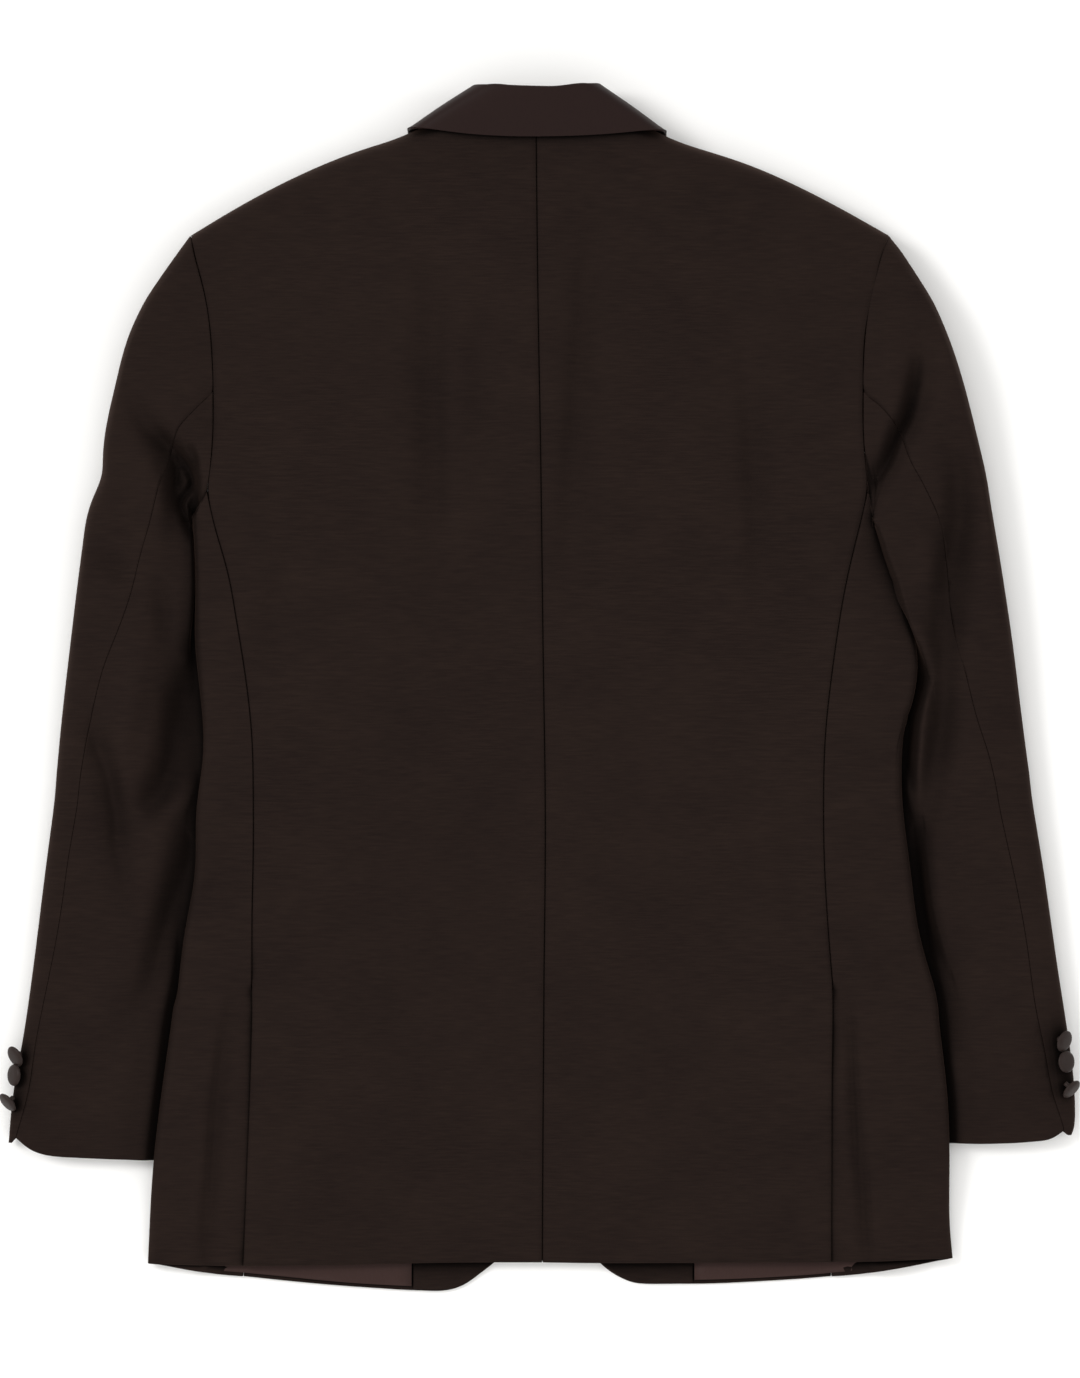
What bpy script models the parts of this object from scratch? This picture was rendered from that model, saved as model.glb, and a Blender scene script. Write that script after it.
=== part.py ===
"""Two-button dinner jacket lying on its front, with the back up and the collar towards +Y.

All tables are in millimetres. X runs to the right of the jacket seen from above, Y towards the
collar and Z up from the surface that it lies on. Columns left and right are distances from the
middle line, because the jacket as it lies isn't quite the same on both sides.
"""
import math

import bpy
import numpy as np

# Sizes that drive the rest, in millimetres
WALL = 2.0  # cloth with its interlining and lining, as one wall
SEAM = 0.3  # gap between two pieces where they are sewn
LINING_WALL = 1.0
HEM_STRIP_TOP = -354.0  # Y at which facing and lining end under the back
SLEEVE_FLAT = 6.8  # height of a sleeve where the body lies on it
SLEEVE_LOWEST = 4.7  # height of a sleeve at the bottom of its deepest folds
SLEEVE_LIFT = 7.4  # underside of the body there
LAPEL_LIFT = 2.6  # underside of the fronts over lapels and collar
OVERLAP_LIFT = 3.0  # underside of the right front over the left one
BUTTON_LIFT = 4.4  # underside of the left front over the front buttons
RIGHT_LAPEL_LIFT = 7.0  # lower end of the right lapel, which lies on the left front
SIDE_RADIUS = 8.0  # fold at the side of the body
SHOULDER_RADIUS = 14.0
SLEEVE_RADIUS = 10.0
SLEEVE_TUCK = 5.0  # strip beside the body's fold in which the sleeve drops under it
SLEEVE_INNER_RADIUS = 3.4  # fold of the sleeve that lies under the body
COLLAR_RADIUS = 8.0  # fold at each end of the collar as seen from behind
CUFF_BUTTON = 14.2  # diameter
FRONT_BUTTON = 20.0  # diameter
VENT_UNDERLAP = 28.0
VENT_DROP = 3.4  # the side panel at the vent lies this much below the back
HEM = -376.0  # Y of the hem at the side seams
UNDERARM = 112.0  # Y of the lowest point of the armhole
SIDE_SEAM_TOP = 129.0  # Y at which the side seam meets the armhole
SHOULDER_POINT = (228.0, 295.5)  # distance from the middle, Y
NECK_POINT = (-2.5, 368.0)  # top of the centre back seam
NECK_HOLLOW = 4.2  # the neck seam dips this much between shoulder and middle
MIDDLE = (-0.35, 0.0)  # centre of the whole in X and Y

# Outer edge of each sleeve: y, left, right
SLEEVE_OUTER = np.array([
    (-297.0, 347.5, 345.5),
    (-284.5, 347.0, 349.0),
    (-273.0, 346.0, 350.0),
    (-252.0, 342.5, 348.5),
    (-232.0, 338.5, 346.0),
    (-203.0, 334.0, 341.5),
    (-177.0, 330.5, 337.5),
    (-125.0, 324.0, 330.0),
    (-72.5, 317.5, 322.0),
    (-20.5, 312.5, 315.0),
    (31.5, 306.5, 308.5),
    (84.0, 300.0, 300.5),
    (116.5, 295.0, 295.0),
    (138.0, 286.5, 291.5),
    (162.0, 284.5, 286.0),
    (201.0, 276.5, 276.0),
    (227.0, 269.5, 267.5),
    (253.5, 257.5, 256.0),
    (266.5, 249.0, 248.0),
    (284.5, 236.5, 236.5),
    (295.5, 228.0, 228.0),
])
# Inner edge of each sleeve, under the body: y, left, right
SLEEVE_INNER = np.array([
    (-310.5, 204.5, 210.0),
    (-242.0, 197.0, 202.0),
    (-177.0, 186.0, 190.5),
    (-105.5, 173.0, 179.5),
    (-33.5, 166.5, 173.0),
    (31.5, 181.5, 189.0),
    (57.5, 201.0, 201.0),
    (88.5, 219.5, 217.5),
    (101.5, 227.5, 224.0),
    (112.0, 227.0, 219.0),
    (142.5, 214.0, 212.0),
])
# Seam at the back of the sleeve: y, left, right
SLEEVE_SEAM = np.array([
    (-293.5, 342.5, 342.5),
    (-284.0, 338.5, 341.0),
    (-269.0, 335.0, 336.0),
    (-257.0, 333.0, 333.0),
    (-233.5, 329.5, 329.0),
    (-203.0, 323.5, 322.5),
    (-179.0, 318.5, 319.5),
    (-142.5, 312.0, 313.5),
    (-106.0, 307.0, 306.0),
    (-82.0, 303.0, 301.0),
    (-46.5, 298.0, 293.5),
    (-18.0, 292.5, 284.5),
    (12.0, 285.0, 277.0),
    (39.5, 274.5, 270.0),
    (57.5, 268.0, 267.5),
    (88.5, 260.0, 264.5),
    (107.5, 254.5, 261.0),
    (133.5, 248.0, 249.5),
    (149.0, 242.5, 241.0),
    (168.5, 236.0, 234.0),
    (183.0, 223.5, 222.5),
    (193.5, 213.0, 210.5),
    (230.0, 190.0, 190.0),
])
# Fold at the side of the body; the last row leads it out past the armhole: y, left, right
BODY_EDGE = np.array([
    (-378.0, 256.5, 270.0),
    (-337.0, 254.5, 267.5),
    (-306.0, 252.0, 267.5),
    (-274.0, 248.5, 267.0),
    (-242.0, 244.0, 263.0),
    (-216.0, 241.0, 261.0),
    (-192.5, 235.5, 257.0),
    (-161.5, 232.5, 248.0),
    (-136.0, 229.0, 243.0),
    (-118.5, 224.5, 242.0),
    (-105.5, 222.5, 241.0),
    (-93.5, 228.0, 240.5),
    (-82.0, 226.0, 237.5),
    (-63.0, 221.0, 234.0),
    (-46.5, 219.0, 236.0),
    (-17.5, 222.0, 238.0),
    (5.5, 222.0, 240.5),
    (31.5, 225.5, 242.0),
    (57.5, 225.0, 237.0),
    (88.5, 225.5, 226.0),
    (112.0, 227.0, 219.0),
    (162.0, 274.0, 274.0),
])
# Seam between back and side panel: y, left, right
SIDE_SEAM = np.array([
    (-376.0, 194.0, 190.5),
    (-330.0, 192.0, 190.5),
    (-267.0, 189.5, 190.5),
    (-206.5, 188.0, 191.0),
    (-163.5, 188.0, 188.5),
    (-115.0, 187.0, 185.5),
    (-54.0, 187.0, 185.0),
    (-11.5, 189.5, 188.0),
    (31.5, 196.0, 193.5),
    (57.5, 200.0, 197.5),
    (88.5, 206.5, 204.0),
    (110.5, 213.5, 209.5),
    (129.0, 217.0, 213.5),
])
# Armhole seam from the underarm up to the shoulder point: y, left, right
ARMHOLE = np.array([
    (112.0, 227.0, 219.0),
    (117.5, 222.5, 217.0),
    (129.0, 217.0, 213.5),
    (148.5, 214.5, 212.0),
    (173.0, 213.0, 210.5),
    (193.5, 213.0, 210.5),
    (224.0, 214.0, 211.0),
    (257.0, 218.5, 217.0),
    (278.0, 223.5, 221.0),
    (295.5, 228.0, 228.0),
])
# Shoulder line from the shoulder point to the neck: left x, left y, right x, right y
SHOULDER = np.array([
    (-20.0, 393.0, -20.0, 393.0),
    (68.0, 371.5, 65.0, 370.5),
    (86.5, 361.5, 83.5, 359.5),
    (116.0, 351.5, 110.0, 350.5),
    (153.0, 337.0, 148.5, 337.0),
    (193.5, 316.0, 191.0, 316.0),
    (221.5, 300.0, 221.0, 300.0),
    (228.0, 295.5, 228.0, 295.5),
    (260.0, 273.0, 260.0, 273.0),
])
# Seam down the middle of the back: y, x
CENTRE_SEAM = np.array([
    (-376.0, 1.5),
    (-209.5, 2.5),
    (-90.5, 3.5),
    (29.5, 2.0),
    (149.5, 0.5),
    (269.0, -1.5),
    (368.0, -2.5),
])
# Height of the back above the surface: y, at the middle, near the sides
TOP = np.array([
    (-380.0, 9.0, 9.5),
    (-340.0, 11.0, 13.5),
    (-300.0, 12.5, 18.0),
    (-200.0, 14.0, 18.5),
    (-50.0, 15.5, 18.5),
    (60.0, 18.0, 20.0),
    (130.0, 22.0, 23.0),
    (220.0, 28.0, 27.0),
    (296.0, 32.0, 30.0),
    (372.0, 33.0, 31.0),
])
# Hem of the fronts, which shows below the back: left x, left y, right x, right y
FRONT_HEM = np.array([
    (64.0, -394.0, 67.0, -389.5),
    (71.0, -394.0, 99.0, -389.5),
    (111.0, -392.0, 150.0, -387.5),
    (150.0, -389.0, 190.5, -384.5),
    (193.5, -384.5, 228.0, -380.5),
    (228.0, -381.0, 254.5, -376.5),
    (256.5, -376.0, 270.0, -372.5),
])
# Hem of back and side panels: left x, left y, right x, right y
BACK_HEM = np.array([
    (0.0, -375.0, 0.0, -375.0),
    (30.0, -375.0, 40.0, -375.5),
    (193.0, -377.5, 190.5, -375.0),
    (256.5, -376.0, 270.0, -372.5),
])
# Inner edge of each front, hem corner to gorge: left x, left y, right x, right y (x not mirrored)
FRONT_EDGE = np.array([
    (-64.0, -394.0, 67.0, -389.5),
    (-51.0, -391.0, 57.5, -387.5),
    (-39.0, -382.5, 47.5, -382.5),
    (-28.5, -375.0, 39.0, -376.0),
    (-13.0, -356.5, 21.0, -356.5),
    (3.5, -327.0, 5.0, -327.0),
    (13.0, -281.5, -6.5, -281.5),
    (18.5, -229.0, -14.5, -229.0),
    (19.5, -164.0, -16.5, -164.0),
    (19.5, -53.0, -16.5, -53.0),
    (18.5, -37.0, -16.5, -37.0),
    (-8.0, 137.0, 9.0, 137.0),
    (-34.5, 310.5, 32.5, 310.5),
])
# Outer edge of the lapels: y, left, right
LAPEL_EDGE = np.array([
    (-37.0, -18.0, -16.0),
    (-7.5, 6.5, 6.5),
    (84.0, 55.5, 54.0),
    (188.0, 90.0, 88.0),
    (262.0, 104.0, 102.0),
    (296.0, 106.0, 104.0),
    (302.0, 84.0, 82.0),
])
# Collar leaf seen on the back: along the fold line, and along its lower edge (x, y, height)
COLLAR_ROLL = np.array([
    (-43.0, 394.0, 42.0),
    (-19.0, 392.0, 43.5),
    (-2.5, 391.5, 44.0),
    (12.0, 391.5, 43.5),
    (38.5, 395.0, 42.0),
])
COLLAR_FALL = np.array([
    (-86.5, 366.0, 34.0),
    (-45.0, 360.5, 35.5),
    (-2.5, 359.0, 35.8),
    (43.5, 360.5, 35.5),
    (82.5, 364.5, 34.0),
])
# Sections of the sleeves, shoulder to cuff: y at the outer edge, y at the inner edge, then
# heights at the outer edge, at the seam, halfway from it to the body, and next to the body
SLEEVE_ROWS = {
    -1: np.array([
        (295.5, 112.0, 30.0, 28.0, 26.0, 22.0),
        (284.5, 101.5, 30.0, 29.0, 25.0, 20.0),
        (260.0, 88.5, 31.0, 29.0, 23.0, 18.0),
        (224.0, 71.0, 31.0, 28.0, 20.0, 17.0),
        (181.5, 48.0, 29.0, 26.0, 18.0, 16.0),
        (136.0, 22.0, 27.0, 25.0, 20.0, 14.5),
        (84.0, -11.0, 25.0, 24.0, 21.0, 12.0),
        (31.5, -43.0, 23.0, 23.0, 20.0, 11.5),
        (-20.5, -79.0, 21.0, 22.0, 19.0, 11.0),
        (-72.5, -118.0, 20.0, 20.0, 18.0, 10.0),
        (-125.0, -157.5, 19.0, 19.0, 17.0, 10.0),
        (-177.0, -200.0, 18.0, 18.0, 17.0, 11.0),
        (-229.0, -243.5, 16.0, 16.0, 16.0, 11.5),
        (-268.0, -281.5, 14.0, 14.0, 14.0, 11.0),
        (-297.0, -310.5, 12.0, 12.0, 12.0, 10.0),
    ]),
    1: np.array([
        (295.5, 112.0, 30.0, 28.0, 26.0, 22.0),
        (284.5, 101.5, 30.0, 29.0, 27.0, 22.0),
        (260.0, 88.5, 31.0, 29.0, 27.0, 24.0),
        (224.0, 71.0, 31.0, 28.0, 27.0, 26.0),
        (181.5, 48.0, 29.0, 26.0, 27.0, 27.0),
        (136.0, 22.0, 27.0, 24.0, 26.0, 26.0),
        (84.0, -11.0, 25.0, 23.0, 24.0, 15.0),
        (31.5, -43.0, 23.0, 22.0, 20.0, 10.0),
        (-20.5, -79.0, 21.0, 21.0, 18.0, 10.0),
        (-72.5, -118.0, 20.0, 20.0, 17.0, 10.0),
        (-125.0, -157.5, 19.0, 19.0, 16.0, 10.0),
        (-177.0, -200.0, 18.0, 17.0, 16.0, 11.0),
        (-229.0, -243.5, 16.0, 16.0, 15.0, 12.0),
        (-268.0, -274.0, 14.0, 14.0, 13.5, 11.0),
        (-291.0, -296.5, 12.0, 12.0, 12.0, 10.0),
    ]),
}
# Cuff edge: x, y, from the inner edge out
CUFF_EDGE = {
    -1: np.array([
        (200.0, -310.5),
        (252.5, -308.5),
        (291.5, -307.0),
        (317.5, -305.5),
        (331.0, -302.0),
        (338.5, -297.0),
        (342.5, -293.5),
        (347.5, -297.0),
    ]),
    1: np.array([
        (205.0, -296.5),
        (266.5, -297.0),
        (285.0, -297.5),
        (306.5, -297.0),
        (326.5, -295.5),
        (337.0, -293.0),
        (341.0, -289.0),
        (347.0, -292.0),
    ]),
}
# Folds of the body, a row for each point along a fold: x, y, width, depth. A ridge has a negative depth
BODY_FOLDS = {
    "left of the middle": ((-68.5, 292.0, 16.0, 0.6), (-69.0, 176.0, 16.0, 1.7), (-70.0, 60.0, 16.0, 0.6)),
    "right of the middle": ((33.0, 312.0, 16.0, 0.6), (25.0, 190.0, 16.0, 1.7), (18.0, 69.0, 16.0, 0.6)),
    "right blade": ((133.5, 236.0, 16.0, 0.6), (138.0, 144.0, 16.0, 1.7), (143.0, 53.0, 16.0, 0.6)),
    "left side": ((-166.0, 110.0, 14.0, 0.5), (-178.0, 20.0, 14.0, 1.2)),
    "beside the left fold": ((-39.0, 240.0, 12.0, 0.5), (-37.0, 160.0, 12.0, 0.9)),
    "wrinkle at the left edge": ((-226.0, -137.0, 8.0, 2.2), (-215.0, -128.0, 7.0, 1.4), (-199.0, -115.0, 7.0, 0.4)),
}
# Folds of the sleeves, in the same columns
SLEEVE_FOLDS = {
    -1: {
        "into the underarm": (
            (-268.0, 193.0, 9.0, 1.5), (-257.0, 176.0, 10.0, 3.5), (-247.0, 161.0, 11.0, 8.0),
            (-238.0, 147.0, 11.0, 12.0), (-234.0, 134.0, 10.0, 13.0), (-230.5, 121.0, 9.0, 10.0),
            (-228.0, 108.0, 8.0, 5.0), (-226.0, 96.0, 8.0, 1.0),
        ),
        "outer elbow": ((-290.0, 87.0, 8.0, 1.5), (-279.0, 80.0, 9.0, 3.5), (-268.0, 72.5, 8.0, 1.5)),
        "inner elbow": ((-249.0, 68.0, 8.0, 1.0), (-245.5, 51.0, 8.0, 3.0), (-243.0, 36.0, 8.0, 1.5)),
        "pool beside the body": (
            (-226.0, 26.0, 9.0, 1.5), (-225.0, 8.0, 12.0, 5.0), (-225.0, -10.0, 16.0, 9.0),
            (-226.0, -28.0, 18.0, 11.0), (-234.0, -49.0, 15.0, 10.0), (-248.0, -69.0, 12.0, 7.0),
            (-263.0, -87.0, 11.0, 2.0),
        ),
        "forearm": (
            (-292.5, -20.0, 8.0, 2.0), (-286.0, -41.5, 8.0, 5.0), (-279.0, -72.5, 9.0, 6.5),
            (-275.0, -94.5, 9.0, 6.0), (-270.0, -121.0, 9.0, 4.0), (-265.0, -140.0, 9.0, 1.5),
        ),
        "low beside the body": (
            (-227.0, -88.0, 9.0, 2.0), (-227.0, -102.0, 11.0, 6.0), (-229.0, -116.0, 12.0, 7.0),
            (-236.0, -134.5, 12.0, 6.0), (-246.0, -165.0, 12.0, 5.0), (-256.0, -194.5, 12.0, 3.5),
            (-282.0, -230.5, 12.0, 1.0),
        ),
    },
    1: {
        "into the underarm": (
            (253.0, 228.0, 10.0, 1.5), (249.0, 210.0, 10.0, 4.0), (245.0, 184.0, 10.0, 6.0),
            (237.0, 168.0, 9.0, 6.5), (228.0, 150.0, 9.0, 6.0), (218.0, 132.0, 8.0, 5.0),
        ),
        "elbow": (
            (268.0, 165.0, 10.0, 2.0), (273.0, 148.0, 11.0, 5.0), (275.0, 112.0, 12.0, 8.0),
            (270.0, 80.0, 12.0, 9.0), (265.0, 55.0, 12.0, 10.0), (262.0, 20.0, 11.0, 10.0),
            (262.0, -20.0, 10.0, 9.0), (258.5, -50.0, 9.0, 5.0), (254.0, -80.0, 8.0, 1.5),
        ),
        "tip of the fold": ((245.0, 26.0, 8.0, 2.0), (246.0, 10.0, 9.0, 7.0), (243.0, -10.0, 8.0, 5.0)),
        "rolled edge beside the gap": (
            (254.0, 16.0, 6.0, -1.0), (252.5, -5.0, 6.0, -5.0), (249.5, -28.0, 6.0, -6.5),
            (247.0, -55.0, 6.0, -5.5), (245.0, -80.0, 6.0, -2.0),
        ),
        "low beside the body": (
            (244.0, -86.0, 8.0, 2.0), (245.0, -103.0, 9.0, 6.0), (248.0, -125.0, 10.0, 7.0),
            (250.0, -147.0, 10.0, 6.0), (256.0, -166.0, 10.0, 4.0), (262.0, -182.0, 10.0, 1.5),
        ),
        "above the cuff": ((251.0, -196.0, 10.0, 2.0), (263.0, -214.0, 10.0, 3.0), (276.0, -232.0, 10.0, 1.0)),
    },
}
# Side panels fall a little from this crease to the vent: y, left, right
VENT_CREASE = np.array([
    (-376.0, 218.0, 216.0),
    (-350.0, 215.0, 213.5),
    (-295.0, 214.0, 209.5),
    (-219.0, 204.0, 203.0),
    (-190.0, 200.0, 200.0),
    (-160.0, 197.0, 197.0),
])
# Cuff buttons: y, x from the middle line, and the way each faces (x away from the middle, y, z)
CUFF_BUTTONS = {
    -1: (
        (-238.0, 338.5, 0.72, -0.40, 0.57),
        (-252.7, 341.0, 0.80, 0.05, 0.60),
        (-267.4, 343.0, 0.66, -0.60, 0.45),
    ),
    1: (
        (-228.5, 338.0, 0.72, -0.30, 0.62),
        (-243.2, 340.5, 0.66, 0.05, 0.75),
        (-257.9, 342.5, 0.64, -0.62, 0.45),
    ),
}
FRONT_BUTTONS = ((1.5, -53.0), (1.5, -164.0))


def smooth(value, xs, ys):
    """Curve through the rows that doesn't swing past them."""
    value = np.clip(value, xs[0], xs[-1])
    step = np.diff(xs)
    slope = np.diff(ys) / step
    before, after = slope[:-1], slope[1:]
    both = before * after > 0
    mean = np.where(both, 2 * before * after / np.where(both, before + after, 1.0), 0.0)
    tangent = np.concatenate([slope[:1], mean, slope[-1:]])
    i = np.clip(np.searchsorted(xs, value, side="right") - 1, 0, len(xs) - 2)
    h = step[i]
    t = (value - xs[i]) / h
    return (
        ys[i] * (1 + 2 * t) * (1 - t) ** 2
        + ys[i + 1] * t * t * (3 - 2 * t)
        + tangent[i] * h * t * (1 - t) ** 2
        + tangent[i + 1] * h * t * t * (t - 1)
    )


def by_y(table, side, y):
    """Distance from the middle line at height y, from a table of y, left, right."""
    return smooth(y, table[:, 0], table[:, 1 if side < 0 else 2])


def by_x(table, side, a):
    """y at the distance a from the middle line, from a table of x, y for each side."""
    first = 0 if side < 0 else 2
    return smooth(a, table[:, first], table[:, first + 1])


def ramp(value, start, end):
    """0 at start, 1 at end, with soft ends."""
    t = np.clip((value - start) / (end - start), 0.0, 1.0)
    return t * t * (3 - 2 * t)


def pressed(folds, x, y):
    """Depth pressed into the cloth at x, y by lines of folds."""
    total = 0.0
    for rows in folds.values():
        rows = np.array(rows)
        deepest = np.zeros(np.shape(x))
        for start, end in zip(rows[:-1], rows[1:]):
            run = end[:2] - start[:2]
            t = np.clip(((x - start[0]) * run[0] + (y - start[1]) * run[1]) / (run @ run), 0.0, 1.0)
            away = np.hypot(x - start[0] - t * run[0], y - start[1] - t * run[1])
            width, depth = (start[k] + (end[k] - start[k]) * t for k in (2, 3))
            here = depth * np.exp(-((away / width) ** 2))
            deepest = np.where(np.abs(here) > np.abs(deepest), here, deepest)
        total = total + deepest
    return total


def top_of(x, y):
    """Outer face of the back above the surface."""
    a = np.abs(x)
    middle = smooth(y, TOP[:, 0], TOP[:, 1])
    near_side = smooth(y, TOP[:, 0], TOP[:, 2])
    return middle + (near_side - middle) * ramp(a, 60.0, 185.0) - pressed(BODY_FOLDS, x, y)


def sleeve_lift(side, x, y):
    """Height to which the sleeve below raises the body."""
    a = side * x
    inner = by_y(SLEEVE_INNER, side, y)
    over = ramp(a, inner - 62.0, inner - 30.0)
    return SLEEVE_LIFT * over * ramp(y, -336.0, -312.0) * (1 - ramp(y, 120.0, 150.0))


def lapel_height(side, y):
    """Height of a lapel above the surface: the right one ends on top of the left front."""
    return 0.0 * y if side < 0 else RIGHT_LAPEL_LIFT * (1 - ramp(y, 72.0, 120.0))


def lapel_lift(side, x, y):
    """Height to which a folded lapel and the collar leaf raise the front above them."""
    a = side * x
    edge = by_y(LAPEL_EDGE, side, y)
    over = 1 - ramp(a, edge + 22.0, edge + 50.0)
    return (LAPEL_LIFT + lapel_height(side, y - 14.0)) * over * ramp(y, -70.0, -45.0)


def bottom_of(side, x, y, panel):
    """Outer face of the fronts and of the side panels' lower layer."""
    lift = sleeve_lift(side, x, y)
    if panel == "front":
        lift = np.maximum(lift, lapel_lift(side, x, y))
        if side < 0:
            over = ramp(x, -50.0, -16.0) * ramp(y, -236.0, -190.0) * (1 - ramp(y, -28.0, 20.0))
            lift = np.maximum(lift, BUTTON_LIFT * over)
        else:
            over = (1 - ramp(x, 32.0, 64.0)) * ramp(y, -352.0, -318.0) * (1 - ramp(y, 20.0, 70.0))
            high = OVERLAP_LIFT + (BUTTON_LIFT + 0.2) * ramp(y, -250.0, -205.0)
            lift = np.maximum(lift, high * over)
    return lift


def body_point(side, x, y, face, depth=0.0, panel="back", gap=SEAM / 2, drop=0.0):
    """Point of the body's cloth over x, y. Face 1 is the back, -1 the front. Depth goes inwards."""
    a = side * x
    top = top_of(x, y)
    middle = (top + sleeve_lift(side, x, y)) / 2
    reach = top - middle if face > 0 else middle - bottom_of(side, x, y, panel)
    tilt = (by_y(BODY_EDGE, side, y + 2.0) - by_y(BODY_EDGE, side, y - 2.0)) / 4.0
    away = (by_y(BODY_EDGE, side, y) - a) / np.hypot(1.0, tilt)
    slope = (by_x(SHOULDER, side, a + 2.0) - by_x(SHOULDER, side, a - 2.0)) / 4.0
    below = (by_x(SHOULDER, side, a) - y) / np.hypot(1.0, slope)
    edge_turn = 1 - np.clip(away / SIDE_RADIUS, 0.0, 1.0)
    shoulder_turn = 1 - np.clip(below / SHOULDER_RADIUS, 0.0, 1.0)
    rise = np.sqrt(1 - edge_turn**2) * np.sqrt(1 - shoulder_turn**2)
    x = x - side * depth * edge_turn
    x = x + side * depth * shoulder_turn * slope / np.hypot(1.0, slope)
    y = y - depth * shoulder_turn / np.hypot(1.0, slope)
    z = middle + face * (gap + (reach - gap - depth) * rise) - drop
    return np.stack([x, y, z], axis=-1)


def offset_line(points, distance):
    """A line of x, y points moved to its left by the distance."""
    ahead = np.gradient(points, axis=0)
    ahead /= np.linalg.norm(ahead, axis=1)[:, None]
    return points + distance * np.stack([-ahead[:, 1], ahead[:, 0]], axis=1)


def patch(lower, upper, first, last, across, along):
    """Grid of x, y between four border lines. First and last run from the lower to the upper."""
    u = across[None, :, None]
    v = along[:, None, None]
    ruled = (1 - v) * lower[None] + v * upper[None] + (1 - u) * first[:, None] + u * last[:, None]
    corners = (1 - v) * ((1 - u) * lower[0] + u * lower[-1])
    corners = corners + v * ((1 - u) * upper[0] + u * upper[-1])
    return ruled - corners


def collect(name, points, faces, slot):
    """Mesh object in metres from points in millimetres, facing out."""
    points = np.asarray(points, float)
    faces = [tuple(int(i) for i in face) for face in faces]
    volume = 0.0
    for face in faces:
        for i in range(1, len(face) - 1):
            volume += np.dot(points[face[0]], np.cross(points[face[i]], points[face[i + 1]]))
    if volume < 0:
        faces = [face[::-1] for face in faces]
    points = points - np.array([MIDDLE[0], MIDDLE[1], 0.0])
    mesh = bpy.data.meshes.new(name)
    mesh.from_pydata((points / 1000).tolist(), [], faces)
    mesh.validate()
    piece = bpy.data.objects.new(name, mesh)
    bpy.context.scene.collection.objects.link(piece)
    mesh.materials.append(MATERIALS[slot])
    return piece


def sheet_solid(name, outer, inner, slot):
    """Closed cloth piece between an outer and an inner grid of points."""
    rows, columns = outer.shape[:2]
    count = rows * columns
    at = np.arange(count).reshape(rows, columns)
    faces = []
    for i in range(rows - 1):
        for j in range(columns - 1):
            a, b, c, d = at[i, j], at[i, j + 1], at[i + 1, j + 1], at[i + 1, j]
            faces.append((a, b, c))
            faces.append((a, c, d))
            faces.append((a + count, c + count, b + count))
            faces.append((a + count, d + count, c + count))
    rim = list(at[0, :]) + list(at[1:, -1]) + list(at[-1, -2::-1]) + list(at[-2:0:-1, 0])
    for k, start in enumerate(rim):
        end = rim[(k + 1) % len(rim)]
        faces.append((start, start + count, end + count))
        faces.append((start, end + count, end))
    points = np.concatenate([outer.reshape(-1, 3), inner.reshape(-1, 3)])
    return collect(name, points, faces, slot)


def side_line(table, side, ys):
    return np.stack([side * by_y(table, side, ys), ys], axis=1)


# Rows shared by the pieces that are sewn together
SEAM_Y = np.array([
    HEM, -345.0, -310.0, -262.0, -214.0, -203.0, -196.0, -188.0, -150.0, -110.0,
    -70.0, -30.0, 10.0, 45.0, 75.0, 103.0, SIDE_SEAM_TOP,
])
ARMHOLE_Y = np.array([
    SIDE_SEAM_TOP, 148.5, 173.0, 193.5, 214.0, 236.0, 260.0, 279.0, 288.5, 293.5, SHOULDER_POINT[1],
])
SHOULDER_SHARES = (0.0, 0.18, 0.36, 0.54, 0.7, 0.82, 0.92, 1.0)


def shoulder_line(side, shares):
    """From the shoulder point to the neck along the fold of the shoulder."""
    last = 68.0 if side < 0 else 65.0
    a = SHOULDER_POINT[0] + (last - SHOULDER_POINT[0]) * np.array(shares)
    return np.stack([side * a, by_x(SHOULDER, side, a)], axis=1)


def neck_line(side, shares):
    """Back neck seam, from the shoulder to the middle."""
    start = shoulder_line(side, (1.0,))[0]
    t = np.array(shares)[:, None]
    line = start + (np.array(NECK_POINT) - start) * t
    line[:, 1] -= NECK_HOLLOW * np.sin(np.pi * t[:, 0]) ** 0.8
    return line


def make_back(side, name):
    seam = offset_line(side_line(SIDE_SEAM, side, SEAM_Y), side * SEAM / 2)
    armhole = offset_line(side_line(ARMHOLE, side, ARMHOLE_Y), side * SEAM / 2)
    outside = np.concatenate([seam, armhole[1:]])
    outside[0, 1] = by_x(BACK_HEM, side, side * outside[0, 0])
    outside[-1, 1] = by_x(SHOULDER, side, side * outside[-1, 0])
    share = (ARMHOLE_Y[1:] - SIDE_SEAM_TOP) / (SHOULDER_POINT[1] - SIDE_SEAM_TOP)
    ys = np.concatenate([SEAM_Y, SIDE_SEAM_TOP + (NECK_POINT[1] - SIDE_SEAM_TOP) * share])
    ys[0] = BACK_HEM[0, 1]
    middle = np.stack([smooth(ys, CENTRE_SEAM[:, 0], CENTRE_SEAM[:, 1]), ys], axis=1)
    middle[:, 0] += side * SEAM / 2
    shoulder = shoulder_line(side, SHOULDER_SHARES)
    shoulder[0] = outside[-1]
    upper = np.concatenate([shoulder, neck_line(side, (0.16, 0.5, 1.0))])
    upper[-1] = middle[-1]
    across = (upper[:, 0] - upper[0, 0]) / (upper[-1, 0] - upper[0, 0])
    lower = outside[0] + (middle[0] - outside[0]) * across[:, None]
    lower[1:-1, 1] = by_x(BACK_HEM, side, side * lower[1:-1, 0])
    along = (ys - ys[0]) / (ys[-1] - ys[0])
    grid = patch(lower, upper, outside, middle, across, along)
    x, y = grid[..., 0], grid[..., 1]
    outer = body_point(side, x, y, 1)
    inner = body_point(side, x, y, 1, WALL)
    return sheet_solid(name, outer, inner, "wool")


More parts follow.
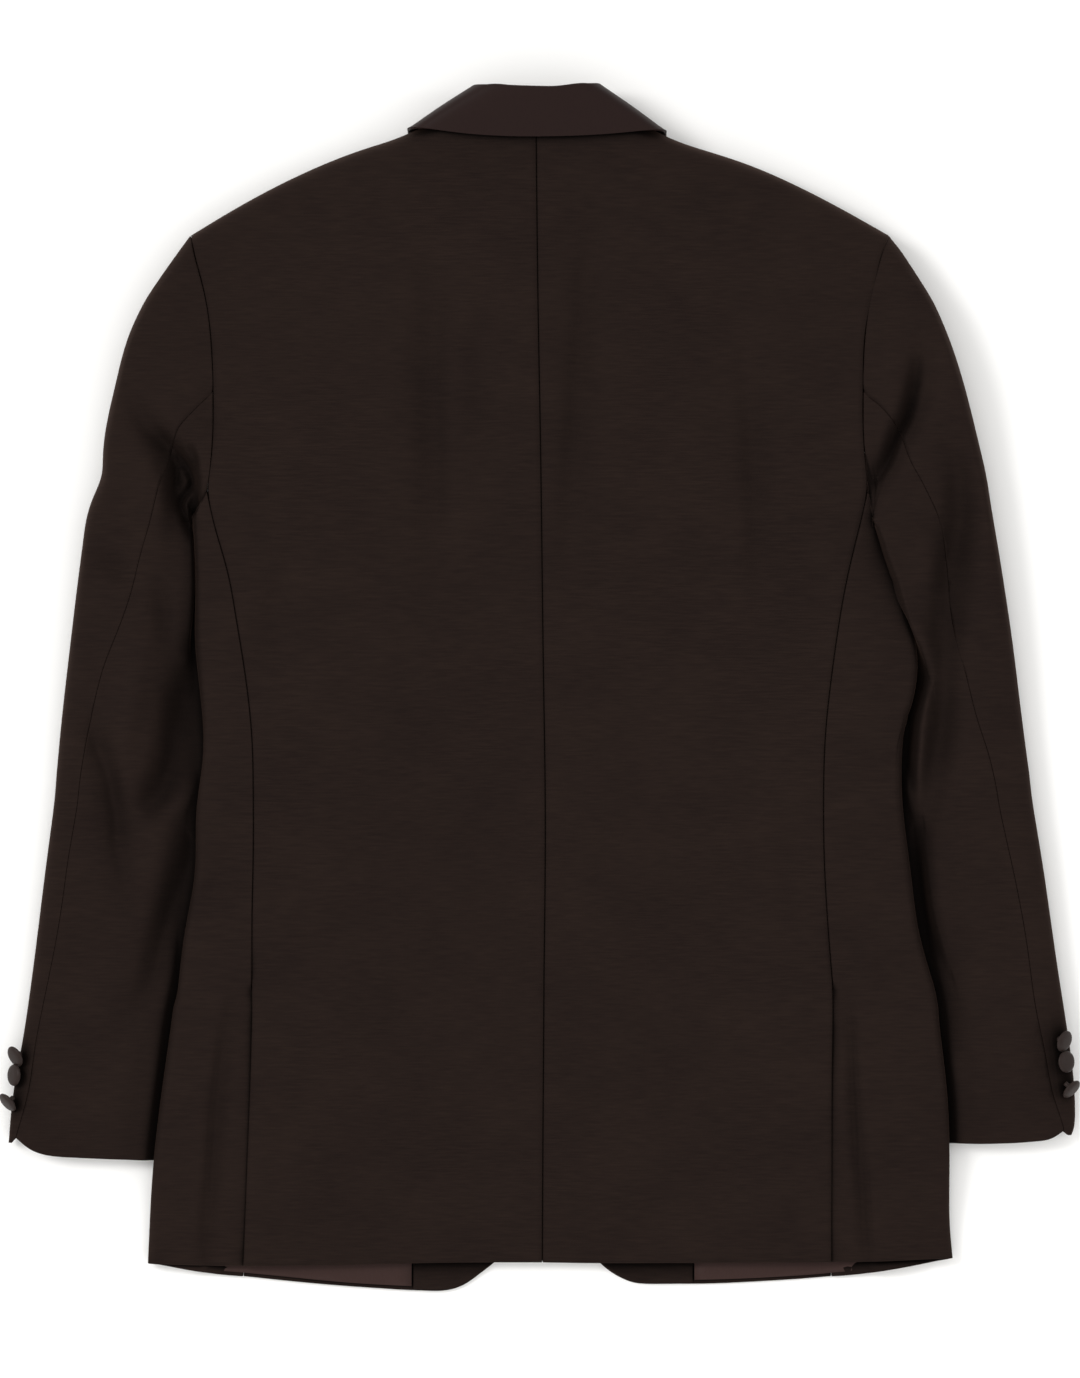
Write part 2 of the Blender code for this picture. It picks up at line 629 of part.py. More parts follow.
def make_front(side, name):
    seam = offset_line(side_line(SIDE_SEAM, side, SEAM_Y), side * SEAM / 2)
    armhole = offset_line(side_line(ARMHOLE, side, ARMHOLE_Y), side * SEAM / 2)
    outside = np.concatenate([seam, armhole[1:]])
    outside[0, 1] = by_x(FRONT_HEM, side, side * outside[0, 0])
    outside[-1, 1] = by_x(SHOULDER, side, side * outside[-1, 0])
    first = 0 if side < 0 else 2
    edge = FRONT_EDGE[:, first:first + 2]
    rows = len(outside)
    ys = np.concatenate([
        (-391.0, -382.5, -375.0, -356.5, -327.0, -281.5, -235.0, -200.0, -164.0, -120.0),
        (-80.0, -53.0, -37.0, 0.0, 45.0, 90.0, 137.0, 180.0, 222.0, 264.0, 310.5),
    ])
    if side > 0:
        ys[0] = -387.5
    line = np.stack([smooth(ys, edge[:, 1], edge[:, 0]), ys], axis=1)
    neck = shoulder_line(side, (1.0,))[0]
    gorge = line[-1]
    shares = np.array((0.3, 0.6, 0.8, 0.94, 1.0))[:, None]
    line = np.concatenate([edge[:1], line, gorge + (neck - gorge) * shares])
    upper = shoulder_line(side, SHOULDER_SHARES)
    upper[0] = outside[-1]
    fine = np.array(SHOULDER_SHARES)
    lower = outside[0] + (line[0] - outside[0]) * fine[:, None]
    lower[1:-1, 1] = by_x(FRONT_HEM, side, side * lower[1:-1, 0])
    along = np.linspace(0.0, 1.0, rows)
    grid = patch(lower, upper, outside, line, fine, along)
    x, y = grid[..., 0], grid[..., 1]
    outer = body_point(side, x, y, -1, 0.0, "front")
    inner = body_point(side, x, y, -1, WALL, "front")
    return sheet_solid(name, outer, inner, "wool")


def make_side(side, name):
    """Panel under the arm, turned round the fold at the side of the body."""
    near_fold = np.array((8.0, 4.0, 1.2, 0.0))
    most_shares = np.array((0.75, 0.45, 0.18, 0.0))
    rows = []
    for k, y in enumerate(SEAM_Y):
        fold_y = HEM + (UNDERARM - HEM) * (y - HEM) / (SIDE_SEAM_TOP - HEM)
        fold = np.array([side * by_y(BODY_EDGE, side, fold_y), fold_y])
        seam = np.array([side * (by_y(SIDE_SEAM, side, y) + SEAM / 2), y])
        if k == len(SEAM_Y) - 1:
            seam[1] -= SEAM
            fold[1] -= SEAM
        span = np.linalg.norm(fold - seam)
        shares = np.minimum(near_fold / span, most_shares)
        across = side * (fold[0] - seam[0])
        crease = (side * fold[0] - by_y(VENT_CREASE, side, y)) / across
        inner_shares = np.array((1.0, 1 - 1.5 / span, np.clip(crease, 0.5, 0.88)))
        if span < 24.0:
            inner_shares = np.array((1.0, 0.92, 0.84))
        shares = np.concatenate([inner_shares, shares])
        line = fold + (seam - fold) * shares[:, None]
        under = VENT_UNDERLAP * float(ramp(y, -201.0, -213.0))
        upper = line.copy()
        upper[0, 0] -= side * under
        crease = by_y(VENT_CREASE, side, y)
        seam_a = by_y(SIDE_SEAM, side, y)
        drop = VENT_DROP * float(ramp(y, -190.0, -195.0))
        drops = drop * (1 - ramp(side * upper[:, 0], seam_a + 2.0, crease))
        if k == 0:
            upper[:, 1] = by_x(BACK_HEM, side, side * upper[:, 0])
            line[:, 1] = by_x(FRONT_HEM, side, side * line[:, 0])
        rows.append((upper, line, drops))
    outer_rows = []
    inner_rows = []
    for upper, line, drops in rows:
        for depth, found in ((0.0, outer_rows), (WALL, inner_rows)):
            above = body_point(side, upper[:, 0], upper[:, 1], 1, depth, "back", 0.0, drops)
            below = body_point(side, line[:, 0], line[:, 1], -1, depth, "back", 0.0)
            found.append(np.concatenate([above, below[-2::-1]]))
    return sheet_solid(name, np.array(outer_rows), np.array(inner_rows), "wool")


def armhole_point(side, share):
    """Armhole seam from the shoulder point, share 0, to the underarm, share 1."""
    ys = np.linspace(SHOULDER_POINT[1], UNDERARM, 120)
    line = side_line(ARMHOLE, side, ys)
    run = np.concatenate([[0.0], np.cumsum(np.hypot(*np.diff(line, axis=0).T))])
    run /= run[-1]
    return np.stack([np.interp(share, run, line[:, k]) for k in (0, 1)], axis=-1)


def sleeve_plan(side, v, t):
    """x, y on the sleeve's section v, from its outer edge, t 0, to its inner edge, t 1."""
    rows = SLEEVE_ROWS[side]
    steps = np.linspace(0.0, 1.0, len(rows))
    outer_y = smooth(v, steps, rows[:, 0])
    inner_y = smooth(v, steps, rows[:, 1])
    start = np.array([side * by_y(SLEEVE_OUTER, side, outer_y), outer_y])
    end = np.array([side * by_y(SLEEVE_INNER, side, inner_y), inner_y])
    t = np.atleast_1d(t)[:, None]
    line = start + (end - start) * t
    bend = 1 - ramp(v, 0.0, 0.21)
    shoulder, underarm = armhole_point(side, 0.0), armhole_point(side, 1.0)
    line = line + bend * (armhole_point(side, t[:, 0]) - shoulder - (underarm - shoulder) * t)
    cuff = ramp(v, 0.9, 1.0)
    edge = CUFF_EDGE[side]
    straight = end[1] + (start[1] - end[1]) * (1 - t[:, 0])
    wanted = smooth(side * line[:, 0], edge[:, 0], edge[:, 1])
    line[:, 1] += cuff * (wanted - straight)
    return line


def crossing(side, v, table, highest=300.0):
    """Share of the section v at which it crosses the line of a table."""
    t = np.linspace(0.0, 1.0, 400)
    line = sleeve_plan(side, v, t)
    inside = side * line[:, 0] - by_y(table, side, np.minimum(line[:, 1], highest))
    inside = np.where(line[:, 1] > highest, 1.0, inside)
    found = np.nonzero((inside[:-1] >= 0) & (inside[1:] < 0))[0]
    if not len(found):
        return 1.0
    i = found[0]
    return float(t[i] + (t[i + 1] - t[i]) * inside[i] / (inside[i] - inside[i + 1]))


def sleeve_points(side, v, t, face, depth, seam_share, edge_share):
    """Points of the sleeve's cloth. Face 1 is the side that shows, -1 the one below."""
    rows = SLEEVE_ROWS[side]
    steps = np.linspace(0.0, 1.0, len(rows))
    outer, at_seam, halfway, near = (smooth(v, steps, rows[:, k]) for k in (2, 3, 4, 5))
    line = sleeve_plan(side, v, t)
    ends = sleeve_plan(side, v, np.array([0.0, 1.0]))
    span = np.linalg.norm(ends[1] - ends[0])
    beside = max(edge_share - SLEEVE_TUCK / span, seam_share + 0.02)
    keys = np.array([0.0, seam_share, (seam_share + beside) / 2, beside, edge_share, 1.01])
    heights = np.array([outer, at_seam, halfway, near, SLEEVE_FLAT, SLEEVE_FLAT])
    keys[4] = 0.99 if edge_share > 0.985 else edge_share - 1.4 / span
    for k in range(1, 6):
        keys[k] = max(keys[k], keys[k - 1] + 1e-4)
    height = smooth(t, keys, heights)
    depth_of_folds = pressed(SLEEVE_FOLDS[side], line[:, 0], line[:, 1])
    height = np.where(height > SLEEVE_FLAT + 0.01, height - depth_of_folds, height)
    under_body = ramp(t, edge_share - 1.5 * SLEEVE_TUCK / span, edge_share)
    height = np.maximum(height, SLEEVE_LOWEST + (SLEEVE_FLAT - SLEEVE_LOWEST) * under_body)
    from_outer = t * span
    from_inner = (1 - t) * span
    outer_turn = 1 - np.clip(from_outer / SLEEVE_RADIUS, 0.0, 1.0)
    inner_turn = 1 - np.clip(from_inner / SLEEVE_INNER_RADIUS, 0.0, 1.0)
    rise = np.sqrt(1 - outer_turn**2) * np.sqrt(1 - inner_turn**2)
    z = height / 2 + face * (height / 2 - depth) * rise
    inwards = (ends[1] - ends[0]) / span
    plan = line + inwards * (depth * (outer_turn - inner_turn))[:, None]
    free = np.concatenate([plan, z[:, None]], axis=1)
    if v > 0.2:
        return free
    seam_line = armhole_point(side, t)
    sewn = body_point(side, seam_line[:, 0], seam_line[:, 1], face, depth, "back", 0.0)
    blend = 1 - ramp(v, 0.0, 0.16)
    free[:, 2] += blend * (sewn[:, 2] - free[:, 2])
    if face > 0:
        sunk = free[:, 2] - blend * ramp(v, 0.0, 0.04) * rise * depth_of_folds
        free[:, 2] = np.maximum(sunk, np.minimum(free[:, 2], SLEEVE_LOWEST - depth))
    if v == 0:
        free[:, :2] = sewn[:, :2]
        ahead = np.gradient(seam_line, axis=0) if len(t) > 1 else np.array([[0.0, -1.0]])
        ahead /= np.linalg.norm(ahead, axis=1)[:, None]
        free[:, 0] -= SEAM * side * ahead[:, 1]
        free[:, 1] += SEAM * side * ahead[:, 0]
    return free


# Shares of the sleeve's length from the armhole to the cuff: closer together where the folds are
SLEEVE_V = np.concatenate([
    (0.0, 0.036, 0.072, 0.108), np.linspace(0.143, 0.643, 27), np.linspace(0.69, 1.0, 8),
])


def make_sleeve(side, upper_name, under_name):
    pieces = {
        upper_name: ([], []),
        under_name: ([], []),
    }
    for v in SLEEVE_V:
        seam_share = crossing(side, v, SLEEVE_SEAM)
        edge_share = crossing(side, v, BODY_EDGE, UNDERARM) if v > 0.08 else 1.0
        ends = sleeve_plan(side, v, np.array([0.0, 1.0]))
        span = np.linalg.norm(ends[1] - ends[0])
        half_seam = SEAM / 2 / span
        near = np.minimum(np.array((0.0, 1.5, 5.0, 10.0)) / span, seam_share * np.array((0, 0.2, 0.5, 0.8)))
        rest = near[-1] + (seam_share - near[-1]) * np.array((0.3, 0.55, 0.8, 1.0))
        upper_t = np.concatenate([near, rest])
        upper_t[-1] -= half_seam
        beside = max(edge_share - SLEEVE_TUCK / span, seam_share + 0.05)
        seen = seam_share + (beside - seam_share) * np.array((0.12, 0.26, 0.4, 0.54, 0.68, 0.8, 0.9, 1.0))
        keys = (
            max(edge_share - 0.8 / span, beside + 0.3 * (edge_share - beside)),
            1 - SLEEVE_INNER_RADIUS / span if edge_share < 0.97 else 1 - 0.3 * (1 - beside),
            1 - 1.0 / span if edge_share < 0.97 else 1 - 0.12 * (1 - beside),
            1.0,
        )
        hidden = np.array(keys)
        if edge_share >= 0.97:
            hidden[0] = beside + 0.4 * (1 - beside)
        under_t = np.concatenate([[seam_share + half_seam], seen, hidden])
        forearm = seam_share + 0.5 * (beside - seam_share)
        lower_upper_t = np.concatenate([near, rest[:2], [seam_share, forearm - half_seam]])
        lower_under_t = np.concatenate([[forearm + half_seam, beside], hidden])
        for depth, index in ((0.0, 0), (WALL, 1)):
            def on(t, face):
                return sleeve_points(side, v, t, face, depth, seam_share, edge_share)

            above = on(upper_t, 1)
            below = on(lower_upper_t, -1)
            pieces[upper_name][index].append(np.concatenate([above[::-1], below[1:]]))
            above = on(under_t, 1)
            below = on(lower_under_t, -1)
            pieces[under_name][index].append(np.concatenate([above, below[-2::-1]]))
    for name, (outer, inner) in pieces.items():
        sheet_solid(name, np.array(outer), np.array(inner), "wool")


def make_collar(name):
    """Stand and fall in one folded piece, from gorge to gorge round the back of the neck."""
    sections = []
    for side in (-1, 1):
        end = 0 if side < 0 else -1
        fold = COLLAR_ROLL[end, :2]
        corner = COLLAR_FALL[end, :2]
        run = (fold - corner) / np.linalg.norm(fold - corner)
        out = np.array([-run[1], run[0]]) * (1 if side < 0 else -1)
        neck = shoulder_line(side, (1.0,))[0]
        gorge = FRONT_EDGE[-1, 0:2] if side < 0 else FRONT_EDGE[-1, 2:4]
        corner_z = COLLAR_FALL[end, 2]
        fold_z = COLLAR_ROLL[end, 2]
        inward = 1 if side < 0 else -2
        ways = {
            1: (COLLAR_FALL[inward, :2] - corner, COLLAR_ROLL[inward, :2] - fold),
            -1: (np.array([side * 82.0, 308.0]) - corner, gorge + np.array([-side * 5.5, 1.5]) - fold),
        }
        half = []
        # Leaf on the front: share of the way from the gorge to the shoulder
        for share in (0.0, 0.5):
            fall = np.array([side * 82.0, 308.0])
            fall = fall + (corner - out * COLLAR_RADIUS - fall) * share
            start = gorge + np.array([-side * 5.5, 1.5])
            roll = start + (fold - out * COLLAR_RADIUS - start) * share
            seam = gorge + (neck - gorge) * (0.06 + share * 0.9)
            half.append((fall, 0.0, roll, 0.0, seam, -1, np.array([0.0, 0.0, -1.0])))
        for angle, along_neck in ((-90, 0.93), (-45, 0.98), (0, 1.0), (45, 1.0), (90, 1.0)):
            turn = math.radians(angle)
            cos, sin = math.cos(turn), math.sin(turn)
            face = -1 if angle < 0 else 1
            along_fall, along_roll = ways[face]
            fall = corner + along_fall * COLLAR_RADIUS * (1 - cos) / -(along_fall @ out)
            roll = fold + along_roll * COLLAR_RADIUS * (1 - cos) / -(along_roll @ out)
            seam = gorge + (neck - gorge) * along_neck
            if angle > 0:
                seam = neck_line(side, (0.03 if angle == 45 else 0.12,))[0]
            normal = np.array([out[0] * cos, out[1] * cos, sin])
            half.append((
                fall, corner_z / 2 * (1 + sin), roll, fold_z / 2 * (1 + sin), seam, face, normal,
            ))
        sections.append(half)
    left, right = sections
    middle = []
    for i in (1, 2, 3):
        side = -1 if i < 3 else 1
        share = 0.55 if i != 2 else 1.0
        middle.append((
            COLLAR_FALL[i, :2], COLLAR_FALL[i, 2], COLLAR_ROLL[i, :2], COLLAR_ROLL[i, 2],
            neck_line(side, (share,))[0], 1, np.array([0.0, 0.0, 1.0]),
        ))
    loops = []
    for i, (fall, fall_z, roll, roll_z, seam, face, normal) in enumerate(left + middle + right[::-1]):
        side = -1 if i < len(left) + 2 else 1
        f = np.array([fall[0], fall[1], fall_z])
        r = np.array([roll[0], roll[1], roll_z])
        a = (r - f) / np.linalg.norm(r - f)
        inside = r - 4.0 * a
        panel = "front" if face < 0 else "back"
        outer = body_point(side, seam[0], seam[1], face, 0.0, panel)
        inner = body_point(side, seam[0], seam[1], face, WALL, panel)
        shift = np.array([-side * 0.6, 1.6, 0.0]) if face > 0 else np.array([-side * 0.9, 0.45, 0.0])
        outer = outer + shift
        inner = inner + shift
        loops.append([
            f,
            (f + inside) / 2,
            inside,
            r - 1.0 * a - 0.5 * normal,
            r - 2.4 * normal,
            r - 1.0 * a - 4.3 * normal,
            inside - 4.8 * normal,
            inner,
            outer,
            inside - 2.8 * normal,
            inside - 2.0 * normal,
            (f + inside) / 2 - 2.0 * normal,
            f - 2.0 * normal,
        ])
    loops = np.array(loops)
    count, around = loops.shape[:2]
    faces = []
    for i in range(count - 1):
        for j in range(around):
            a, b = i * around + j, i * around + (j + 1) % around
            c, d = b + around, a + around
            faces.append((a, b, c))
            faces.append((a, c, d))
    for start in (0, (count - 1) * around):
        # The end section is a thin fold: stitch its outer run to its inner run
        ring = [start + j for j in range(around)]
        pairs = [(0, 12), (1, 11), (2, 10)]
        cap = []
        for (a, b), (c, d) in zip(pairs[:-1], pairs[1:]):
            cap.append((ring[a], ring[b], ring[d]))
            cap.append((ring[a], ring[d], ring[c]))
        cap.append((ring[2], ring[10], ring[3]))
        cap.append((ring[3], ring[10], ring[4]))
        cap.append((ring[4], ring[10], ring[9]))
        cap.append((ring[4], ring[9], ring[5]))
        cap.append((ring[5], ring[9], ring[6]))
        cap.append((ring[6], ring[9], ring[8]))
        cap.append((ring[6], ring[8], ring[7]))
        if start > 0:
            cap = [face[::-1] for face in cap]
        faces.extend(cap)
    return collect(name, loops.reshape(-1, 3), faces, "satin")


def make_lapel(side, name):
    """Lapel folded flat under its front, from the gorge to the top button."""
    first = 0 if side < 0 else 2
    edge = FRONT_EDGE[:, first:first + 2]
    ys = np.array((-30.0, 0.0, 40.0, 70.0, 95.0, 120.0, 160.0, 200.0, 245.0, 280.0, 301.0))
    outer = []
    inner = []
    for y in ys:
        roll = float(smooth(y, edge[:, 1], edge[:, 0]))
        far = side * float(by_y(LAPEL_EDGE, side, y))
        x = roll + (far - roll) * np.array((0.0, 0.34, 0.68, 1.0))
        z = float(lapel_height(side, y))
        outer.append(np.stack([x, np.full(4, y), np.full(4, z)], axis=1))
        inner.append(np.stack([x, np.full(4, y), np.full(4, z + WALL)], axis=1))
    return sheet_solid(name, np.array(outer), np.array(inner), "satin")


def make_hem_strip(side, name, xs, lows, slot):
    """Facing or lining lying on the inside of the front, where it shows below the back's hem."""
    x = np.repeat(np.array(xs)[None], 3, axis=0)
    lows = np.array(lows)
    y = np.stack([lows, lows + 12.0, np.maximum(HEM_STRIP_TOP, lows + 20.0)])
    floor = bottom_of(side, x, y, "front") + WALL + SEAM
    outer = np.stack([x, y, floor], axis=-1)
    inner = np.stack([x, y, floor + LINING_WALL], axis=-1)
    return sheet_solid(name, outer, inner, slot)


def make_button(name, seat, facing, diameter, height, shank):
    """Cloth-covered button on its shank, domed on top."""
    radius = diameter / 2
    profile = (
        (0.0, 0.0),
        (1.6, 0.0),
        (1.6, shank),
        (radius * 0.78, shank),
        (radius, shank + 0.35 * height),
        (radius * 0.86, shank + 0.78 * height),
        (radius * 0.5, shank + 0.96 * height),
        (0.0, shank + height),
    )
    facing = np.array(facing) / np.linalg.norm(facing)
    across = np.cross(facing, (0.0, 1.0, 0.0) if abs(facing[1]) < 0.9 else (1.0, 0.0, 0.0))
    across /= np.linalg.norm(across)
    other = np.cross(facing, across)
    around = 14
    points = [seat]
    for r, h in profile[1:-1]:
        for k in range(around):
            turn = 2 * math.pi * k / around
            points.append(seat + facing * h + r * (math.cos(turn) * across + math.sin(turn) * other))
    points.append(seat + facing * profile[-1][1])
    faces = []
    for k in range(around):
        after = (k + 1) % around
        faces.append((0, 1 + after, 1 + k))
        for ring in range(len(profile) - 3):
            low = 1 + ring * around
            faces.append((low + k, low + after, low + around + after))
            faces.append((low + k, low + around + after, low + around + k))
        last = 1 + (len(profile) - 3) * around
        faces.append((last + k, last + after, len(points) - 1))
    return collect(name, points, faces, "satin_button")


def sleeve_seat(side, x, y):
    """Point of the sleeve's upper face over x, y, and the way the cloth faces there."""
    t = np.linspace(0.0, 0.2, 90)
    rows = []
    for v in np.linspace(0.85, 1.0, 61):
        shares = crossing(side, v, SLEEVE_SEAM), crossing(side, v, BODY_EDGE, UNDERARM)
        rows.append(sleeve_points(side, v, t, 1, 0.0, *shares))
    grid = np.array(rows)
    away = np.hypot(grid[1:-1, 1:-1, 0] - x, grid[1:-1, 1:-1, 1] - y)
    i, j = np.unravel_index(int(np.argmin(away)), away.shape)
    across = grid[i + 1, j + 2] - grid[i + 1, j]
    along = grid[i + 2, j + 1] - grid[i, j + 1]
    normal = np.cross(across, along)
    normal /= np.linalg.norm(normal)
    return grid[i + 1, j + 1], normal if normal[2] > 0 else -normal


def principled(name, colour, roughness, sheen=0.0):
    material = bpy.data.materials.new(name)
    material.use_nodes = True
    shader = material.node_tree.nodes["Principled BSDF"]
    linear = [(c / 255 / 12.92) if c / 255 < 0.04045 else ((c / 255 + 0.055) / 1.055) ** 2.4 for c in colour]
    shader.inputs["Base Color"].default_value = (*linear, 1.0)
    shader.inputs["Roughness"].default_value = roughness
    shader.inputs["Metallic"].default_value = 0.0
    shader.inputs["Sheen Weight"].default_value = sheen
    return material


for old in list(bpy.data.objects):
    bpy.data.objects.remove(old, do_unlink=True)

MATERIALS = {
    "wool": principled("wool", (40, 32, 29), 0.9, 0.1),
    "satin": principled("satin", (46, 36, 34), 0.55),
    "satin_button": principled("satin_button", (54, 44, 41), 0.4),
    "lining": principled("lining", (66, 51, 47), 0.6),
}

make_back(-1, "back_left")
make_back(1, "back_right")
make_side(-1, "side_left")
make_side(1, "side_right")
make_front(-1, "front_left")
make_front(1, "front_right")
make_sleeve(-1, "upper_sleeve_left", "under_sleeve_left")
make_sleeve(1, "upper_sleeve_right", "under_sleeve_right")
make_collar("collar")
make_lapel(-1, "lapel_left")
make_lapel(1, "lapel_right")
make_hem_strip(
    -1, "facing_left",
    (-83.0, -72.0, -62.0, -51.0, -40.0, -30.0, -18.0),
    (-393.0, -393.2, -393.0, -390.2, -382.6, -375.6, -361.5), "wool",
)
make_hem_strip(
    1, "facing_right",
    (100.0, 84.0, 66.0, 57.5, 48.0, 40.0, 26.0),
    (-388.7, -388.8, -388.6, -386.7, -382.0, -376.2, -361.0), "wool",
)
make_hem_strip(
    -1, "lining_left",
    (-220.0, -193.5, -166.0, -138.0, -111.0, -84.0),
    (-380.0, -382.2, -384.8, -387.6, -389.6, -391.0), "lining",
)
make_hem_strip(
    1, "lining_right",
    (228.0, 203.0, 178.0, 152.0, 126.0, 101.0),
    (-378.4, -381.0, -383.4, -385.0, -386.2, -386.9), "lining",
)
for side, word in ((-1, "left"), (1, "right")):
    for i, (y, a, out, up, high) in enumerate(CUFF_BUTTONS[side], 1):
        seat, normal = sleeve_seat(side, side * a, y)
        facing = np.array((side * out, up, high)) / math.hypot(out, up, high)
        lean = math.sqrt(max(0.0, 1 - float(facing @ normal) ** 2))
        seat = seat + normal * (SEAM + 1.6 * lean)
        shank = max(1.2, CUFF_BUTTON / 2 * lean * 0.8)
        make_button(f"cuff_button_{word}_{i}", seat, facing, CUFF_BUTTON, 3.4, shank)
for i, (x, y) in enumerate(FRONT_BUTTONS, 1):
    seat = np.array([x, y, 4.0])
    make_button(f"front_button_{i}", seat, (0.0, 0.0, -1.0), FRONT_BUTTON, 3.4, 0.6)
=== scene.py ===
# %% [markdown]
# # A dark wool dinner blazer, laid on its front
#
# The garment lies flat with its back up: collar fall at the top, a seam down the middle of the back, a
# curved seam on each side that opens into a vent, and two-piece sleeves that lie under the body. The
# solids of the frame already have the true outline and the large folds. This script gives each of them
# a finer shell of cloth, presses the smaller creases in, and makes the cloth look like cloth.

import math

import bmesh
import bpy
import numpy as np
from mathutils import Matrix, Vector, noise
from mathutils.bvhtree import BVHTree


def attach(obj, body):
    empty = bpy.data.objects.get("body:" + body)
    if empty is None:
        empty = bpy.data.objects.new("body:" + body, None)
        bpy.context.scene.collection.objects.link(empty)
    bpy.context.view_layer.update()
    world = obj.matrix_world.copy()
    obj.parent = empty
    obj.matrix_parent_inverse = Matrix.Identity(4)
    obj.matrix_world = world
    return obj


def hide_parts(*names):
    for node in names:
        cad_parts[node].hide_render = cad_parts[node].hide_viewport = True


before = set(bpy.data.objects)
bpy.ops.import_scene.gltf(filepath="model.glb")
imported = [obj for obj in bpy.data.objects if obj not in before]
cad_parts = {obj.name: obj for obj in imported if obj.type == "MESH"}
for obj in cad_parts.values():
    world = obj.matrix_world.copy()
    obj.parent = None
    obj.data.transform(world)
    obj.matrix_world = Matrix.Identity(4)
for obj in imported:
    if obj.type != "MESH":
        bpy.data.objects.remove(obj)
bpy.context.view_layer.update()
MM = 0.001
print("nodes in the frame:", len(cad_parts))

# %% [markdown]
# ## Camera, floor and light
#
# A garment that lies flat is photographed from straight above. A long lens a few metres up keeps the
# high parts, such as the collar, from spreading outwards. The frame is 1080 x 1378 pixels and one pixel
# covers 0.652 mm of cloth, so the lens and that width give the height of the camera.

# %% Camera
PIXEL = 0.652 * MM
FRAME_PIXELS = (1080, 1378)
CLOTH_HEIGHT = 20 * MM
LENS = 200.0
SENSOR = 36.0

view = bpy.data.cameras.new("overhead_camera")
view.type = "PERSP"
view.lens = LENS
view.sensor_width = SENSOR
view.clip_end = 50.0
camera = bpy.data.objects.new("overhead_camera", view)
bpy.context.scene.collection.objects.link(camera)
camera.location = (0.35 * MM, -0.3 * MM, CLOTH_HEIGHT + FRAME_PIXELS[1] * PIXEL * LENS / SENSOR)
bpy.context.scene.camera = camera
bpy.context.scene.view_settings.view_transform = "Standard"
print("camera is", round(camera.location.z, 2), "m up")


# %% Colours and nodes
def linear(code):
    """Linear red, green, blue and alpha from an sRGB hex value."""
    found = []
    for i in (0, 2, 4):
        value = int(code[i:i + 2], 16) / 255
        found.append(value / 12.92 if value <= 0.04045 else ((value + 0.055) / 1.055) ** 2.4)
    return (*found, 1.0)


def add(tree, kind, settings=None, links=None):
    """Adds a node. Settings fill its properties or sockets, links join its sockets to outputs."""
    node = tree.nodes.new(kind)
    for key, value in (settings or {}).items():
        if isinstance(key, str) and hasattr(node, key):
            setattr(node, key, value)
        else:
            node.inputs[key].default_value = value
    for key, source in (links or {}).items():
        tree.links.new(source, node.inputs[key])
    return node


def start_material(name):
    material = bpy.data.materials.new(name)
    material.use_nodes = True
    tree = material.node_tree
    tree.nodes.clear()
    return material, tree


# %% Floor
def pale_floor():
    material, tree = start_material("matt_white_board")
    paint = add(tree, "ShaderNodeBsdfPrincipled", {"Base Color": linear("F2F1EF"), "Roughness": 0.8})
    add(tree, "ShaderNodeOutputMaterial", {}, {"Surface": paint.outputs[0]})
    mesh = bpy.data.meshes.new("floor")
    reach = 6.0
    corners = [(-reach, -reach, 0), (reach, -reach, 0), (reach, reach, 0), (-reach, reach, 0)]
    mesh.from_pydata(corners, [], [(0, 1, 2, 3)])
    mesh.materials.append(material)
    floor = bpy.data.objects.new("floor", mesh)
    bpy.context.scene.collection.objects.link(floor)
    floor.location.z = -0.2 * MM
    floor.visible_shadow = False


pale_floor()
print("floor laid")


# %% Lights
def soft_box(name, place, size, power):
    light = bpy.data.lights.new(name, "AREA")
    light.shape = "RECTANGLE"
    light.size, light.size_y = size
    light.energy = power
    lamp = bpy.data.objects.new(name, light)
    bpy.context.scene.collection.objects.link(lamp)
    lamp.location = place
    lamp.rotation_mode = "QUATERNION"
    lamp.rotation_quaternion = (-Vector(place)).to_track_quat("-Z", "Y")


soft_box("key_light", (-4.2, 1.8, 4.0), (1.8, 1.8), 160)
soft_box("hem_light", (0.3, -2.0, 1.1), (2.4, 0.8), 9)
soft_box("right_light", (4.0, 0.6, 2.4), (1.2, 2.0), 20)
room = bpy.data.worlds.new("studio")
room.use_nodes = True
room.node_tree.nodes["Background"].inputs["Color"].default_value = (1.0, 1.0, 1.0, 1.0)
room.node_tree.nodes["Background"].inputs["Strength"].default_value = 1.0
bpy.context.scene.world = room
print("lights set")

# %% [markdown]
# ## The cloth
#
# Dinner suits are cut from a fine worsted wool. Its yarns are 0.3 to 0.4 mm apart, less than a pixel, so
# the weave shows only as fine cross streaks where the weft yarn is a little thicker or thinner. The
# pattern here is drawn on the cloth's own place in X and Y, at 0.9 mm, so that it can show at all. Wool
# has short fibres that stand up, and they catch light where the cloth turns away: that is its sheen.


# %% Cloth patterns
# Blender's wave texture stretches its place by this much before it takes the sine
WAVE_STRETCH = 20
# How strongly painted shade darkens the wool's colour in a hollow, as a power of the open share of the sky
PAINTED_SHADE_POWER = 4.2


def streaks(tree, along, across, detail, roughness=0.6):
    """Noise that is long in the weft's direction, X, and narrow in Y. Sizes in millimetres."""
    place = add(tree, "ShaderNodeTexCoord")
    scaled = add(
        tree, "ShaderNodeMapping", {"Scale": (1 / (along * MM), 1 / (across * MM), 1 / (along * MM))},
        {"Vector": place.outputs["Object"]},
    )
    return add(
        tree, "ShaderNodeTexNoise",
        {"Scale": 1.0, "Detail": detail, "Roughness": roughness}, {"Vector": scaled.outputs[0]},
    )


